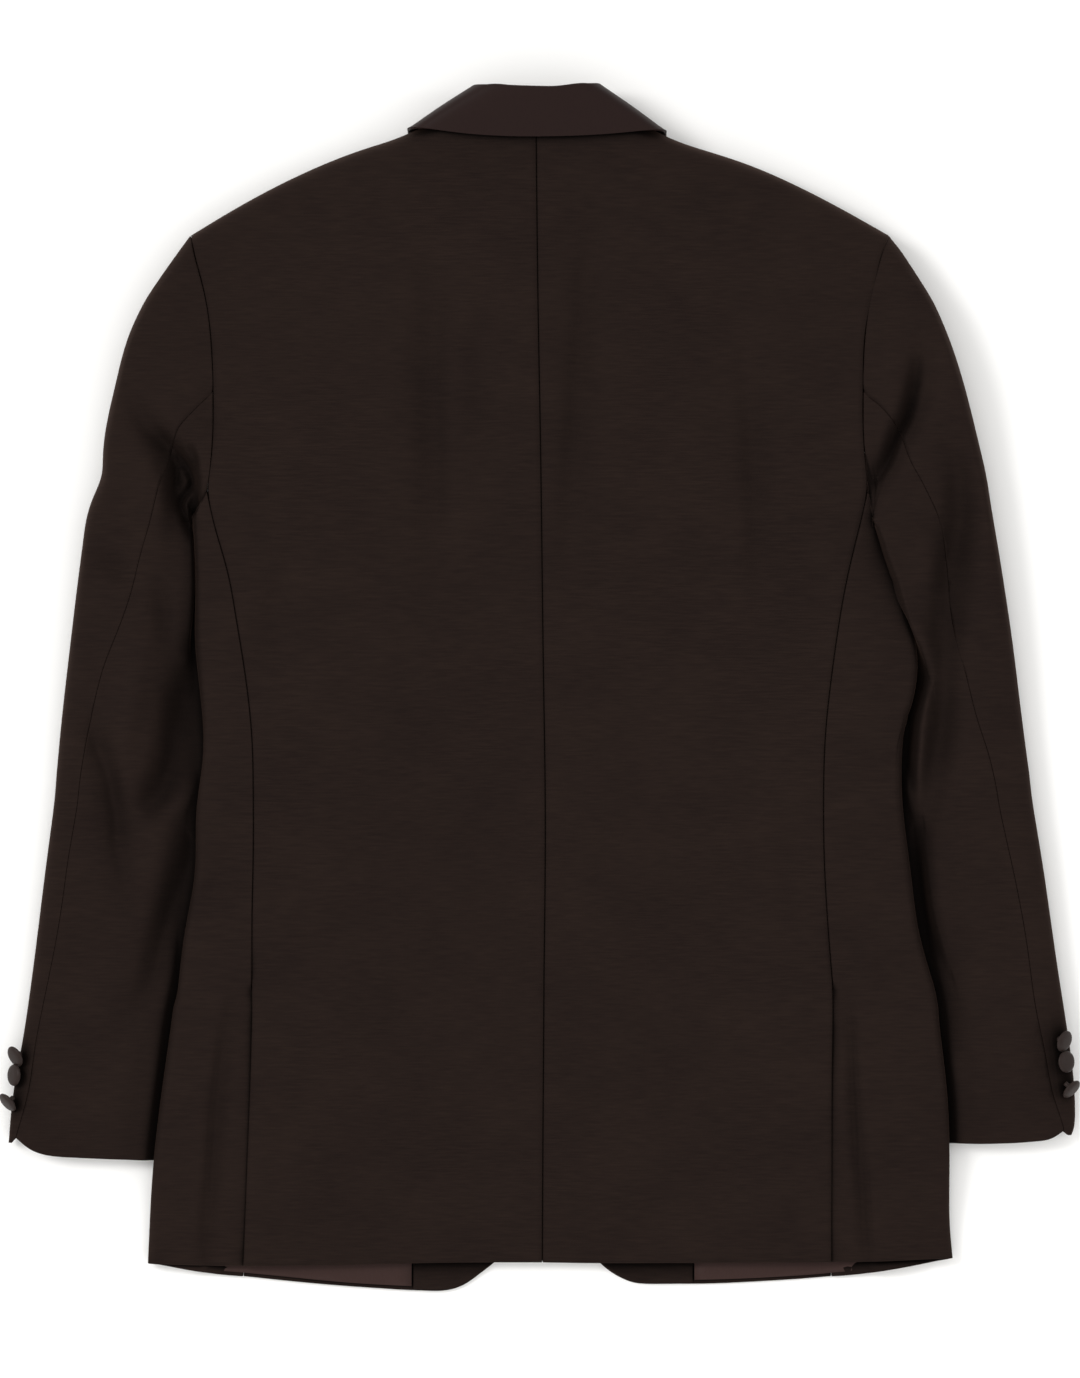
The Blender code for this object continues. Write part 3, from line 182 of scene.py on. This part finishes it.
def weave_lines(tree, spacing, direction):
    """Fine ribs of yarn, one for each spacing in millimetres."""
    place = add(tree, "ShaderNodeTexCoord")
    scale = 1 / (spacing * MM) / WAVE_STRETCH * 2 * math.pi
    return add(
        tree, "ShaderNodeTexWave",
        {"wave_type": "BANDS", "bands_direction": direction, "Scale": scale, "Distortion": 0.6,
         "Detail": 1.0, "Detail Scale": 2.0},
        {"Vector": place.outputs["Object"]},
    )


def painted_hollow_shade(tree, colour, reach=30.0):
    """Colour with painted shade: darker where little of the sky above is open. Reach in millimetres."""
    # Painted shade: the colour is multiplied by the open share of the sky, so hollows, creases and gaps
    # between layers are painted darker
    sky = add(tree, "ShaderNodeAmbientOcclusion", {"samples": 6, "Distance": reach * MM})
    share = add(
        tree, "ShaderNodeMath", {"operation": "POWER", 1: PAINTED_SHADE_POWER}, {0: sky.outputs["AO"]}
    )
    return add(
        tree, "ShaderNodeMix", {"data_type": "RGBA", "blend_type": "MULTIPLY", 0: 1.0},
        {6: colour, 7: share.outputs[0]},
    ).outputs[2]


# %% Worsted wool
def worsted_wool(name, base, light, spacing=0.9):
    material, tree = start_material(name)
    weft = streaks(tree, 14.0, 0.9, 4.0)
    cloudy = streaks(tree, 60.0, 40.0, 2.0)
    pale = add(
        tree, "ShaderNodeMapRange", {"From Min": 0.36, "From Max": 0.68, "To Min": 0.0, "To Max": 0.55},
        {"Value": weft.outputs["Fac"]},
    )
    patch = add(
        tree, "ShaderNodeMapRange", {"From Min": 0.3, "From Max": 0.7, "To Min": 0.0, "To Max": 0.3},
        {"Value": cloudy.outputs["Fac"]},
    )
    share = add(
        tree, "ShaderNodeMath", {"operation": "ADD"}, {0: pale.outputs[0], 1: patch.outputs[0]}
    )
    colour = add(
        tree, "ShaderNodeMix", {"data_type": "RGBA", 6: linear(base), 7: linear(light)},
        {0: share.outputs[0]},
    )
    warp = weave_lines(tree, spacing, "X")
    across = weave_lines(tree, spacing, "Y")
    cross = add(
        tree, "ShaderNodeMath", {"operation": "MULTIPLY"},
        {0: warp.outputs["Fac"], 1: across.outputs["Fac"]},
    )
    height = add(
        tree, "ShaderNodeMath", {"operation": "ADD"}, {0: cross.outputs[0], 1: weft.outputs["Fac"]}
    )
    bump = add(
        tree, "ShaderNodeBump", {"Strength": 0.35, "Distance": 0.12 * MM}, {"Height": height.outputs[0]}
    )
    # The wool's base colour carries painted shade in its hollows
    wool = add(
        tree, "ShaderNodeBsdfPrincipled",
        {"Roughness": 0.82, "IOR": 1.54, "Specular IOR Level": 0.03, "Sheen Weight": 0.08,
         "Sheen Roughness": 0.5, "Sheen Tint": linear("C9A08E")},
        {"Base Color": painted_hollow_shade(tree, colour.outputs[2]), "Normal": bump.outputs[0]},
    )
    add(tree, "ShaderNodeOutputMaterial", {}, {"Surface": wool.outputs[0]})
    return material


WOOL = worsted_wool("worsted_wool", "191210", "241B17")
print("made", WOOL.name)


# %% Satin
def silk_satin(name, base, light, roughness):
    material, tree = start_material(name)
    floats = streaks(tree, 0.8, 6.0, 3.0)
    colour = add(
        tree, "ShaderNodeMix", {"data_type": "RGBA", 6: linear(base), 7: linear(light)},
        {0: floats.outputs["Fac"]},
    )
    bump = add(
        tree, "ShaderNodeBump", {"Strength": 0.25, "Distance": 0.08 * MM}, {"Height": floats.outputs["Fac"]}
    )
    satin = add(
        tree, "ShaderNodeBsdfPrincipled",
        {"Roughness": roughness, "IOR": 1.5, "Specular IOR Level": 0.08, "Sheen Weight": 0.03,
         "Sheen Roughness": 0.35, "Sheen Tint": linear("D8C0B4")},
        {"Base Color": colour.outputs[2], "Normal": bump.outputs[0]},
    )
    add(tree, "ShaderNodeOutputMaterial", {}, {"Surface": satin.outputs[0]})
    return material


SATIN = silk_satin("silk_satin", "1C1110", "231714", 0.55)
BUTTON_SATIN = silk_satin("button_satin", "261E1C", "2D2522", 0.4)
LINING = silk_satin("twill_lining", "30211E", "372825", 0.5)
print("made", SATIN.name, BUTTON_SATIN.name, LINING.name)

# %% [markdown]
# ## From a plain solid to a shell of cloth
#
# Each solid is a wall 2 mm thick in flat facets. Subdividing it makes the facets smooth. The rim of the
# wall, where the cloth was cut and turned in, has to stay where it is, or a wide gap opens at each seam.
# So the facets are joined into quads, the rim's edges are bevelled by less than a millimetre, which
# turns the cloth in at the seam, and they are creased.


# %% Refine one solid
def turned(edge, least, narrowest):
    """True where two faces meet at more than the least angle, one of them as narrow as the wall's rim."""
    if len(edge.link_faces) != 2 or edge.calc_face_angle(0.0) < math.radians(least):
        return False
    widths = [min(side.calc_length() for side in face.edges) for face in edge.link_faces]
    return min(widths) < narrowest * MM


def points_of(mesh):
    found = np.empty(len(mesh.vertices) * 3)
    mesh.vertices.foreach_get("co", found)
    return found.reshape(-1, 3)


def evaluated(piece):
    """A new mesh with the piece's modifiers applied."""
    depsgraph = bpy.context.evaluated_depsgraph_get()
    return bpy.data.meshes.new_from_object(piece.evaluated_get(depsgraph))


def lay_on_floor(piece):
    """Nothing reaches below the surface that the garment lies on."""
    points = points_of(piece.data)
    points[:, 2] = np.maximum(points[:, 2], 0.0)
    piece.data.vertices.foreach_set("co", points.ravel())
    piece.data.update()


# Widest side of a rim face, and of a face that the bevel leaves at the rim, in millimetres
RIM = 2.1
TURNED_IN = 1.3
# Farthest that a corner may move so that the smooth surface still passes through its place, and how often
# the corners are set again
FARTHEST = 1.0
CORRECTIONS = 3
# Corners closer than this are one corner, in millimetres
SAME_CORNER = 0.002
# Most that two triangles of one quad may turn, and most that its corners may open, in degrees
QUAD_TURN = 40
QUAD_OPEN = 170


def shell(node, name, material, levels=3, turn_in=0.45, least=58, crease_least=32):
    """A finer copy of one solid, in its material. Turn-in in millimetres, least angles in degrees."""
    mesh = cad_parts[node].data.copy()
    mesh.name = name
    work = bmesh.new()
    work.from_mesh(mesh)
    bmesh.ops.remove_doubles(work, verts=work.verts, dist=SAME_CORNER * MM)
    bmesh.ops.join_triangles(
        work, faces=work.faces, angle_face_threshold=math.radians(QUAD_TURN),
        angle_shape_threshold=math.radians(QUAD_OPEN),
    )
    rim = [edge for edge in work.edges if turned(edge, least, RIM)]
    if turn_in:
        bmesh.ops.bevel(
            work, geom=rim, offset=turn_in * MM, segments=1, profile=0.5, affect="EDGES",
            clamp_overlap=True,
        )
    crease = work.edges.layers.float.new("crease_edge")
    for edge in work.edges:
        if turned(edge, crease_least, TURNED_IN):
            edge[crease] = 1.0
    work.to_mesh(mesh)
    work.free()
    mesh.materials.clear()
    mesh.materials.append(material)
    piece = bpy.data.objects.new(name, mesh)
    bpy.context.scene.collection.objects.link(piece)
    smooth = piece.modifiers.new("smooth", "SUBSURF")
    smooth.levels = smooth.render_levels = levels
    wanted = points_of(mesh)
    corners = wanted.copy()
    for _ in range(CORRECTIONS):
        moved = corners + wanted - points_of(evaluated(piece))[:len(wanted)]
        corners = wanted + np.clip(moved - wanted, -FARTHEST * MM, FARTHEST * MM)
        mesh.vertices.foreach_set("co", corners.ravel())
        mesh.update()
    finer = evaluated(piece)
    piece.modifiers.clear()
    piece.data = finer
    lay_on_floor(piece)
    finer.polygons.foreach_set("use_smooth", [True] * len(finer.polygons))
    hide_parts(node)
    return piece


CLOTH = {}
for node in sorted(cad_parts):
    if node.startswith(("upper", "front_l", "front_r")):
        CLOTH[node] = shell(node, node + "_cloth", WOOL, levels=2)
    elif node.startswith(("back", "side", "under", "facing")):
        CLOTH[node] = shell(node, node + "_cloth", WOOL)
    elif node.startswith(("collar", "lapel")):
        CLOTH[node] = shell(node, node + "_cloth", SATIN, crease_least=58)
    elif node.startswith("lining"):
        CLOTH[node] = shell(node, node + "_cloth", LINING, turn_in=0.0)
    else:
        CLOTH[node] = shell(node, node + "_cover", BUTTON_SATIN, levels=2, turn_in=0.0, least=80)
triangles = {name: 2 * len(piece.data.polygons) for name, piece in CLOTH.items()}
print("largest piece", max(triangles.values()), "all", sum(triangles.values()))


# %% [markdown]
# ## Small folds
#
# The solids hold the large folds. The smaller ones are pressed into the shells here. Each is a line of a
# few points with a depth and a width on either side of it, because a fold in firm wool is seldom the same
# on both sides: one side turns sharply and the other rolls away. A negative depth is a ridge. Folds die
# away towards both ends. Only the layer that the line lies on is pressed, so the cloth below stays put.


# %% Shape of one fold
def curved(line, steps=6):
    """Smooth curve through a few points, as closer points."""
    line = np.array(line, float)
    padded = np.vstack([2 * line[0] - line[1], line, 2 * line[-1] - line[-2]])
    t = np.linspace(0.0, 1.0, steps, endpoint=False)[:, None]
    runs = []
    for a, b, c, d in zip(padded[:-3], padded[1:-2], padded[2:-1], padded[3:]):
        runs.append(
            b + 0.5 * t * (c - a + t * (2 * a - 5 * b + 4 * c - d + t * (3 * (b - c) + d - a)))
        )
    return np.vstack(runs + [line[-1:]])


def fold_share(places, line, left, right, taper=0.7):
    """How much of a fold's depth each place has. Left and right are widths, seen along the line."""
    line = curved(line)
    lengths = np.hypot(*np.diff(line, axis=0).T)
    before = np.concatenate([[0.0], np.cumsum(lengths)])
    nearest = np.full(len(places), np.inf)
    on_left = np.zeros(len(places), bool)
    along = np.zeros(len(places))
    for k, (start, end) in enumerate(zip(line[:-1], line[1:])):
        run = end - start
        t = np.clip((places - start) @ run / (run @ run), 0.0, 1.0)
        away = places - start - t[:, None] * run
        distance = np.hypot(*away.T)
        closer = distance < nearest
        nearest[closer] = distance[closer]
        on_left[closer] = (run[0] * away[:, 1] - run[1] * away[:, 0])[closer] > 0
        along[closer] = ((before[k] + t * lengths[k]) / before[-1])[closer]
    width = np.where(on_left, left, right)
    return np.exp(-((nearest / width) ** 2)) * np.sin(np.pi * np.clip(along, 0.03, 0.97)) ** taper


def soft_step(value, start, end):
    t = np.clip((value - start) / (end - start), 0.0, 1.0)
    return t * t * (3 - 2 * t)


# A height above every piece, in metres, and the depths from a piece's surface between which one layer
# of cloth gives way to the next, in millimetres
ABOVE_ALL = 0.2
LAYER_ENDS = (3.2, 5.5)


def layers(piece):
    """Share of each point that belongs to the piece's top layer of cloth, and to its bottom layer."""
    mesh = piece.data
    points = points_of(mesh)
    tree = BVHTree.FromPolygons(points.tolist(), [tuple(face.vertices) for face in mesh.polygons])
    shares = []
    for way in (1, -1):
        start = ABOVE_ALL * way
        found = np.empty(len(points))
        for i, (x, y, z) in enumerate(points):
            hit = tree.ray_cast(Vector((x, y, start)), Vector((0.0, 0.0, -way)))[0]
            found[i] = abs(hit.z - z) if hit is not None else 0.0
        shares.append(1 - soft_step(found / MM, *LAYER_ENDS))
    return points, shares[0], shares[1]


SLEEVE_L = ("upper_sleeve_left", "under_sleeve_left")
SLEEVE_R = ("upper_sleeve_right", "under_sleeve_right")
BODY_L = ("side_left", "front_left")
BODY_R = ("side_right", "front_right")
BACK = ("back_left", "back_right", "side_left", "side_right")
TOP, BELOW = 0, 1
# Columns: pieces, layer, depth, width on the left and on the right of the line, points x, y in millimetres
FOLDS = (
    # crumpled cloth in the hollow at the left underarm
    (SLEEVE_L, TOP, -7.0, 5.0, 6.0, ((-235, 146), (-232, 134), (-231, 122), (-231, 108))),
    (SLEEVE_L, TOP, 3.0, 3.0, 5.0, ((-250, 168), (-242, 160), (-236, 153), (-230, 146), (-227, 136))),
    (SLEEVE_L, TOP, 4.0, 2.2, 3.2,
     ((-229, 146), (-226, 135), (-230, 128), (-234, 121), (-232, 112), (-229, 102))),
    (SLEEVE_L, TOP, 1.8, 2.0, 3.0, ((-229, 160), (-225, 151), (-224, 141))),
    (SLEEVE_L, TOP, 1.5, 2.0, 2.5, ((-240, 150), (-237, 142), (-238, 132))),
    (SLEEVE_L, TOP, 1.5, 7.0, 5.0, ((-266, 190), (-257, 170), (-248, 161), (-240, 152))),
    # left elbow and forearm
    (SLEEVE_L, TOP, 1.0, 4.0, 6.0, ((-290, 90), (-283, 84), (-272, 77), (-260, 75))),
    (SLEEVE_L, TOP, 0.9, 4.0, 7.0, ((-249, 72), (-246, 58), (-242, 36), (-241, 22))),
    (SLEEVE_L, TOP, 2.0, 6.0, 4.0,
     ((-291, -20), (-288, -38), (-281, -58), (-277, -84), (-276, -102), (-268, -136))),
    (SLEEVE_L, TOP, 6.5, 9.0, 10.0,
     ((-232, 24), (-237, 0), (-241, -25), (-245, -52), (-254, -73), (-273, -90))),
    (SLEEVE_L, TOP, -5.5, 9.0, 12.0, ((-257, 44), (-261, 10), (-267, -20), (-276, -48))),
    (SLEEVE_L, TOP, 1.6, 5.0, 8.0,
     ((-228, -104), (-238, -132), (-248, -163), (-256, -196), (-280, -230))),
    # right sleeve: the edge of the full fold, and the trough beside it
    (SLEEVE_R, TOP, 5.0, 2.4, 6.0,
     ((247, 226), (246, 205), (241, 179), (234, 165), (227, 147), (216, 129))),
    # right: the full fold's rolled edge over the open gap, and the cloth on the far side of the lower gap
    (SLEEVE_R, TOP, -8.0, 8.0, 5.0, ((235, 72), (240, 56), (246, 40), (252, 24), (256, 6))),
    (SLEEVE_R, TOP, 4.0, 3.5, 3.5, ((245, -12), (243, -30), (242, -50), (244, -72))),
    (SLEEVE_R, TOP, -4.5, 12.0, 3.0, ((252, -96), (254, -116), (258, -147), (268, -182))),
    (SLEEVE_R, TOP, 1.4, 5.0, 8.0, ((270, 152), (275, 128), (274, 104), (270, 76))),
    (SLEEVE_R, TOP, -2.5, 8.0, 7.0, ((268, 76), (263, 40), (262, 0), (260, -36))),
    (SLEEVE_R, TOP, 1.0, 4.0, 7.0, ((243, -100), (248, -130), (252, -158), (262, -184))),
    # lower sleeves
    (SLEEVE_R, TOP, 0.8, 7.0, 9.0, ((300, -90), (303, -140), (308, -190))),
    (SLEEVE_L, TOP, 0.7, 8.0, 8.0, ((-300, -150), (-304, -200), (-312, -250))),
    # back: long soft troughs from the blades down, and the wrinkle at the left side
    (BACK, TOP, 3.4, 9.0, 13.0, ((-68, 296), (-70, 220), (-69, 140), (-70, 60))),
    (BACK, TOP, 3.4, 12.0, 8.0, ((34, 316), (28, 240), (22, 150), (18, 70))),
    (BACK, TOP, 3.2, 12.0, 8.0, ((134, 236), (138, 170), (141, 110), (143, 50))),
    (BACK, TOP, 2.2, 10.0, 10.0, ((-166, 84), (-172, 55), (-178, 24))),
    (BACK, TOP, 2.0, 8.0, 10.0, ((-40, 250), (-38, 190), (-39, 140))),
    (BACK, TOP, 1.1, 3.0, 4.5, ((-229, -139), (-216, -128), (-199, -115))),
    (BACK, TOP, -0.6, 4.0, 4.0, ((-226, -148), (-213, -137), (-202, -126))),
    # vents: the underlap lies close to the back's edge, with one soft crease beside it
    (("side_left",), TOP, -1.3, 12.0, 12.0,
     ((-187, -196), (-188, -225), (-189, -270), (-191, -340), (-194, -420))),
    (("side_right",), TOP, -1.3, 12.0, 12.0,
     ((189, -205), (191, -235), (191, -280), (191, -340), (191, -420))),
    (("side_left",), TOP, 3.8, 8.0, 3.5,
     ((-200, -195), (-207, -235), (-212, -274), (-214, -308), (-218, -353), (-217, -400))),
    (("side_right",), TOP, 3.6, 1.9, 5.5,
     ((202, -195), (205, -235), (207, -268), (209, -296), (213, -343), (216, -400))),
    (("side_left",), TOP, -1.5, 7.0, 7.0, ((-187, -180), (-187, -198), (-188, -218))),
    (("side_right",), TOP, -1.5, 7.0, 7.0, ((189, -182), (190, -201), (191, -222))),
    # the vents' edges are pressed thin by the iron
    (("back_left",), TOP, 1.0, 5.0, 5.0,
     ((-187, -180), (-188, -225), (-189, -270), (-191, -340), (-194, -420))),
    (("back_right",), TOP, 1.0, 5.0, 5.0,
     ((188, -190), (190, -235), (191, -280), (191, -340), (191, -420))),
    # hem: the front's edge lies close below the back's
    (BODY_R, BELOW, -6.6, 7.0, 7.0, ((203, -380), (222, -379), (242, -377), (262, -374))),
    (BODY_L, BELOW, -6.0, 7.0, 7.0, ((-204, -380), (-218, -378), (-232, -376), (-250, -374))),
    # a shallow dent near the right side's edge
    (BACK, TOP, 0.4, 4.0, 4.0, ((240, -212), (241, -230), (239, -246))),
)


# Where a sleeve dips in under the body, its cloth runs down without a kink: the line of that place on
# each side, then for each kind of piece the line's reach in millimetres and the rounds of evening out
BESIDE_L = (
    (-232, 150), (-228, 120), (-226, 70), (-227, 20), (-228, -30), (-228, -80), (-229, -120), (-236, -170),
)
BESIDE_R = (
    (232, 190), (222, 150), (216, 128), (224, 90), (236, 58), (244, 20), (242, -30), (242, -70),
    (246, -120), (256, -180),
)
EVENED = {"under": (15.0, 14), "upper": (15.0, 8), "side": (12.0, 20)}
# Near the line the share is multiplied by this and held at one
FULLER = 1.5
# Share of the way to its neighbours' mean height that a point goes each round
EACH_ROUND = 0.7


def run_smooth(piece, points, share, rounds):
    """Evens out the heights of neighbouring points, as far as their share says."""
    mesh = piece.data
    ends = np.empty(2 * len(mesh.edges), int)
    mesh.edges.foreach_get("vertices", ends)
    first, second = ends.reshape(-1, 2).T
    count = np.bincount(ends, minlength=len(points))
    height = points[:, 2].copy()
    for _ in range(rounds):
        total = np.bincount(first, height[second], len(points))
        total += np.bincount(second, height[first], len(points))
        height += EACH_ROUND * share * (total / count - height)
    points[:, 2] = height


# Cloth that leans over towards the body. Columns: pieces, way in X, widths on the left and right of the
# line, heights where it starts and where it is full, points x, y in millimetres
LEANS = (
    (SLEEVE_L, 3.0, 3.0, 8.0, (9.0, 13.0), ((-229, 106), (-228, 80), (-227.5, 50), (-228, 22))),
    (SLEEVE_R, -6.0, 14.0, 6.0, (9.0, 14.0),
     ((217, 122), (223, 98), (230, 83), (238, 63), (245, 42), (250, 24))),
    (SLEEVE_R, -1.5, 6.0, 5.0, (12.0, 16.0),
     ((228, 300), (226, 291), (224, 283), (222, 272), (219, 256), (218, 240))),
    (BODY_R, 6.0, 8.0, 14.0, (-1.0, 0.0), ((236, 44), (238, 28), (239, 12), (238, -4), (236, -18))),
)


def drawn_over(node, points, share):
    """Moves the cloth above a height sideways, along the lines that its piece has."""
    for pieces, way, left, right, (start, full), line in LEANS:
        if node in pieces:
            near = fold_share(points[:, :2] / MM, line, left, right, taper=0.4)
            points[:, 0] += way * MM * near * share * soft_step(points[:, 2] / MM, start, full)


# Slight unevenness: depth, size in X and in Y in millimetres, and where the noise is cut. It starts at
# the first height and is full at the second.
UNEVEN = ((0.45, 55, 70, 1.7), (0.12, 17, 24, 5.1))
UNEVEN_FROM = (4.0, 10.0)


def press_folds(node):
    """Small folds and a slight unevenness of the cloth, pressed into one shell."""
    piece = CLOTH[node]
    points, *shares = layers(piece)
    places = points[:, :2] / MM
    kind = node.split("_")[0]
    if kind in EVENED:
        width, rounds = EVENED[kind]
        beside = BESIDE_L if node.endswith("left") else BESIDE_R
        share = np.minimum(1.0, FULLER * fold_share(places, beside, width, width, taper=0.3))
        run_smooth(piece, points, share * shares[TOP], rounds)
    in_sleeve = node in SLEEVE_L or node in SLEEVE_R
    drawn_over(node, points, shares[TOP] if in_sleeve else np.ones(len(points)))
    lowest, highest = places.min(axis=0), places.max(axis=0)
    sunk = np.zeros(len(points))
    for pieces, layer, depth, left, right, line in FOLDS:
        line = np.array(line, float)
        reach = 3 * max(left, right)
        apart = (line.max(axis=0) + reach < lowest) | (line.min(axis=0) - reach > highest)
        if node not in pieces or apart.any():
            continue
        sunk += depth * shares[layer] * fold_share(places, line, left, right)
    uneven = np.zeros(len(points))
    for depth, wide, long, seed in UNEVEN:
        uneven += depth * np.array([noise.noise(Vector((x / wide, y / long, seed))) for x, y in places])
    sunk += uneven * shares[TOP] * soft_step(points[:, 2] / MM, *UNEVEN_FROM)
    points[:, 2] -= sunk * MM
    piece.data.vertices.foreach_set("co", points.ravel())
    lay_on_floor(piece)
    return float(sunk.max())


def thinned(piece, share):
    """Joins up triangles where the cloth is nearly flat, until a share of them is left."""
    fewer = piece.modifiers.new("fewer", "DECIMATE")
    fewer.ratio = share
    mesh = evaluated(piece)
    piece.modifiers.clear()
    piece.data = mesh
    lay_on_floor(piece)


# Share of the triangles that the under sleeves keep. They are crumpled, so they have the most.
KEPT = 0.6

for node in (*BACK, "front_left", "front_right", *SLEEVE_L, *SLEEVE_R):
    print(node, "pressed by at most", round(press_folds(node), 1), "mm")
    if node.startswith("under"):
        thinned(CLOTH[node], KEPT)

# %% [markdown]
# ## Seam allowance
#
# The two halves of the back are sewn together with their edges pressed open inside. Those edges close the
# seam from below, so no light comes through it. Here they are one thin strip under the seam. Its place and
# height are taken from the finished edge of the back, a short step at a time.


# %% Strip under the centre back seam
# How far the strip reaches on each side of the seam, and how far below the cloth it lies, in millimetres
SEAM_REACH = 9.0
BELOW_CLOTH = 0.3


def seam_rows(half, spacing=8.0):
    """X of the seam, Y, and the height just below the cloth, one row for each step down the back."""
    points = points_of(CLOTH[half].data) / MM
    near = points[np.abs(points[:, 0]) < SEAM_REACH]
    lowest, highest = near[:, 1].min(), near[:, 1].max()
    rows = []
    for y in np.arange(lowest + 1.0, highest - 1.0, spacing):
        row = near[np.abs(near[:, 1] - y) < spacing / 2]
        rows.append((row[:, 0].max(), y, row[:, 2].min() - BELOW_CLOTH))
    return rows


def seam_strip(name, half, thick=0.4):
    work = bmesh.new()
    rows = []
    for x, y, z in seam_rows(half):
        across = (x - SEAM_REACH, x, x + SEAM_REACH)
        rows.append([work.verts.new((X * MM, y * MM, z * MM)) for X in across])
    for before, after in zip(rows[:-1], rows[1:]):
        for k in (0, 1):
            work.faces.new((before[k], before[k + 1], after[k + 1], after[k]))
    bmesh.ops.recalc_face_normals(work, faces=work.faces)
    bmesh.ops.solidify(work, geom=work.faces[:], thickness=thick * MM)
    mesh = bpy.data.meshes.new(name)
    work.to_mesh(mesh)
    work.free()
    mesh.materials.append(WOOL)
    piece = bpy.data.objects.new(name, mesh)
    bpy.context.scene.collection.objects.link(piece)
    return piece


allowance = seam_strip("centre_seam_allowance", "back_left")
print("seam allowance has", len(allowance.data.polygons), "faces")

# %% [markdown]
# ## What each piece was cut from
#
# Every piece of cloth was cut flat before it was sewn. Its cut is given here as the width and length of a
# rectangle, an estimate from the outline in the photo and the build of the solids, then as the area of the
# cloth itself, set to about what the finished shell measures, and the pieces that it lies on.

# %% Flat sizes of the cloth
# Columns: node, width and length in millimetres, area in square centimetres, what it rests on
CUTS = (
    ("back_left", 236, 752, 1480, ("front_left", "upper_sleeve_left")),
    ("back_right", 236, 750, 1450, ("front_right", "upper_sleeve_right")),
    ("side_left", 120, 516, 495, ("front_left", "under_sleeve_left")),
    ("side_right", 150, 516, 645, ("front_right", "under_sleeve_right")),
    ("front_left", 250, 768, 1490, ("floor", "under_sleeve_left")),
    ("front_right", 248, 762, 1455, ("floor", "under_sleeve_right")),
    ("upper_sleeve_left", 150, 605, 560, ("floor",)),
    ("upper_sleeve_right", 155, 595, 570, ("floor",)),
    ("under_sleeve_left", 260, 507, 910, ("floor",)),
    ("under_sleeve_right", 255, 494, 876, ("floor",)),
    ("collar", 190, 150, 206, ("back_left", "back_right")),
    ("lapel_left", 125, 332, 200, ("floor",)),
    ("lapel_right", 121, 332, 197, ("floor",)),
    ("facing_left", 67, 52, 22, ("floor",)),
    ("facing_right", 76, 49, 23, ("floor",)),
    ("lining_left", 137, 38, 45, ("front_left",)),
    ("lining_right", 128, 34, 39, ("front_right",)),
)
for node, width, length, area, rests_on in CUTS:
    measured = sum(face.area for face in CLOTH[node].data.polygons) / 2 * 1e4
    print(f"{node}: cut {area} square cm, modelled {measured:.0f}")

# %% [markdown]
# ## Finish
#
# Cloth has no joints, so every piece moves with the one body.

# %% Everything rides on the one body
for piece in (*CLOTH.values(), allowance):
    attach(piece, "root")
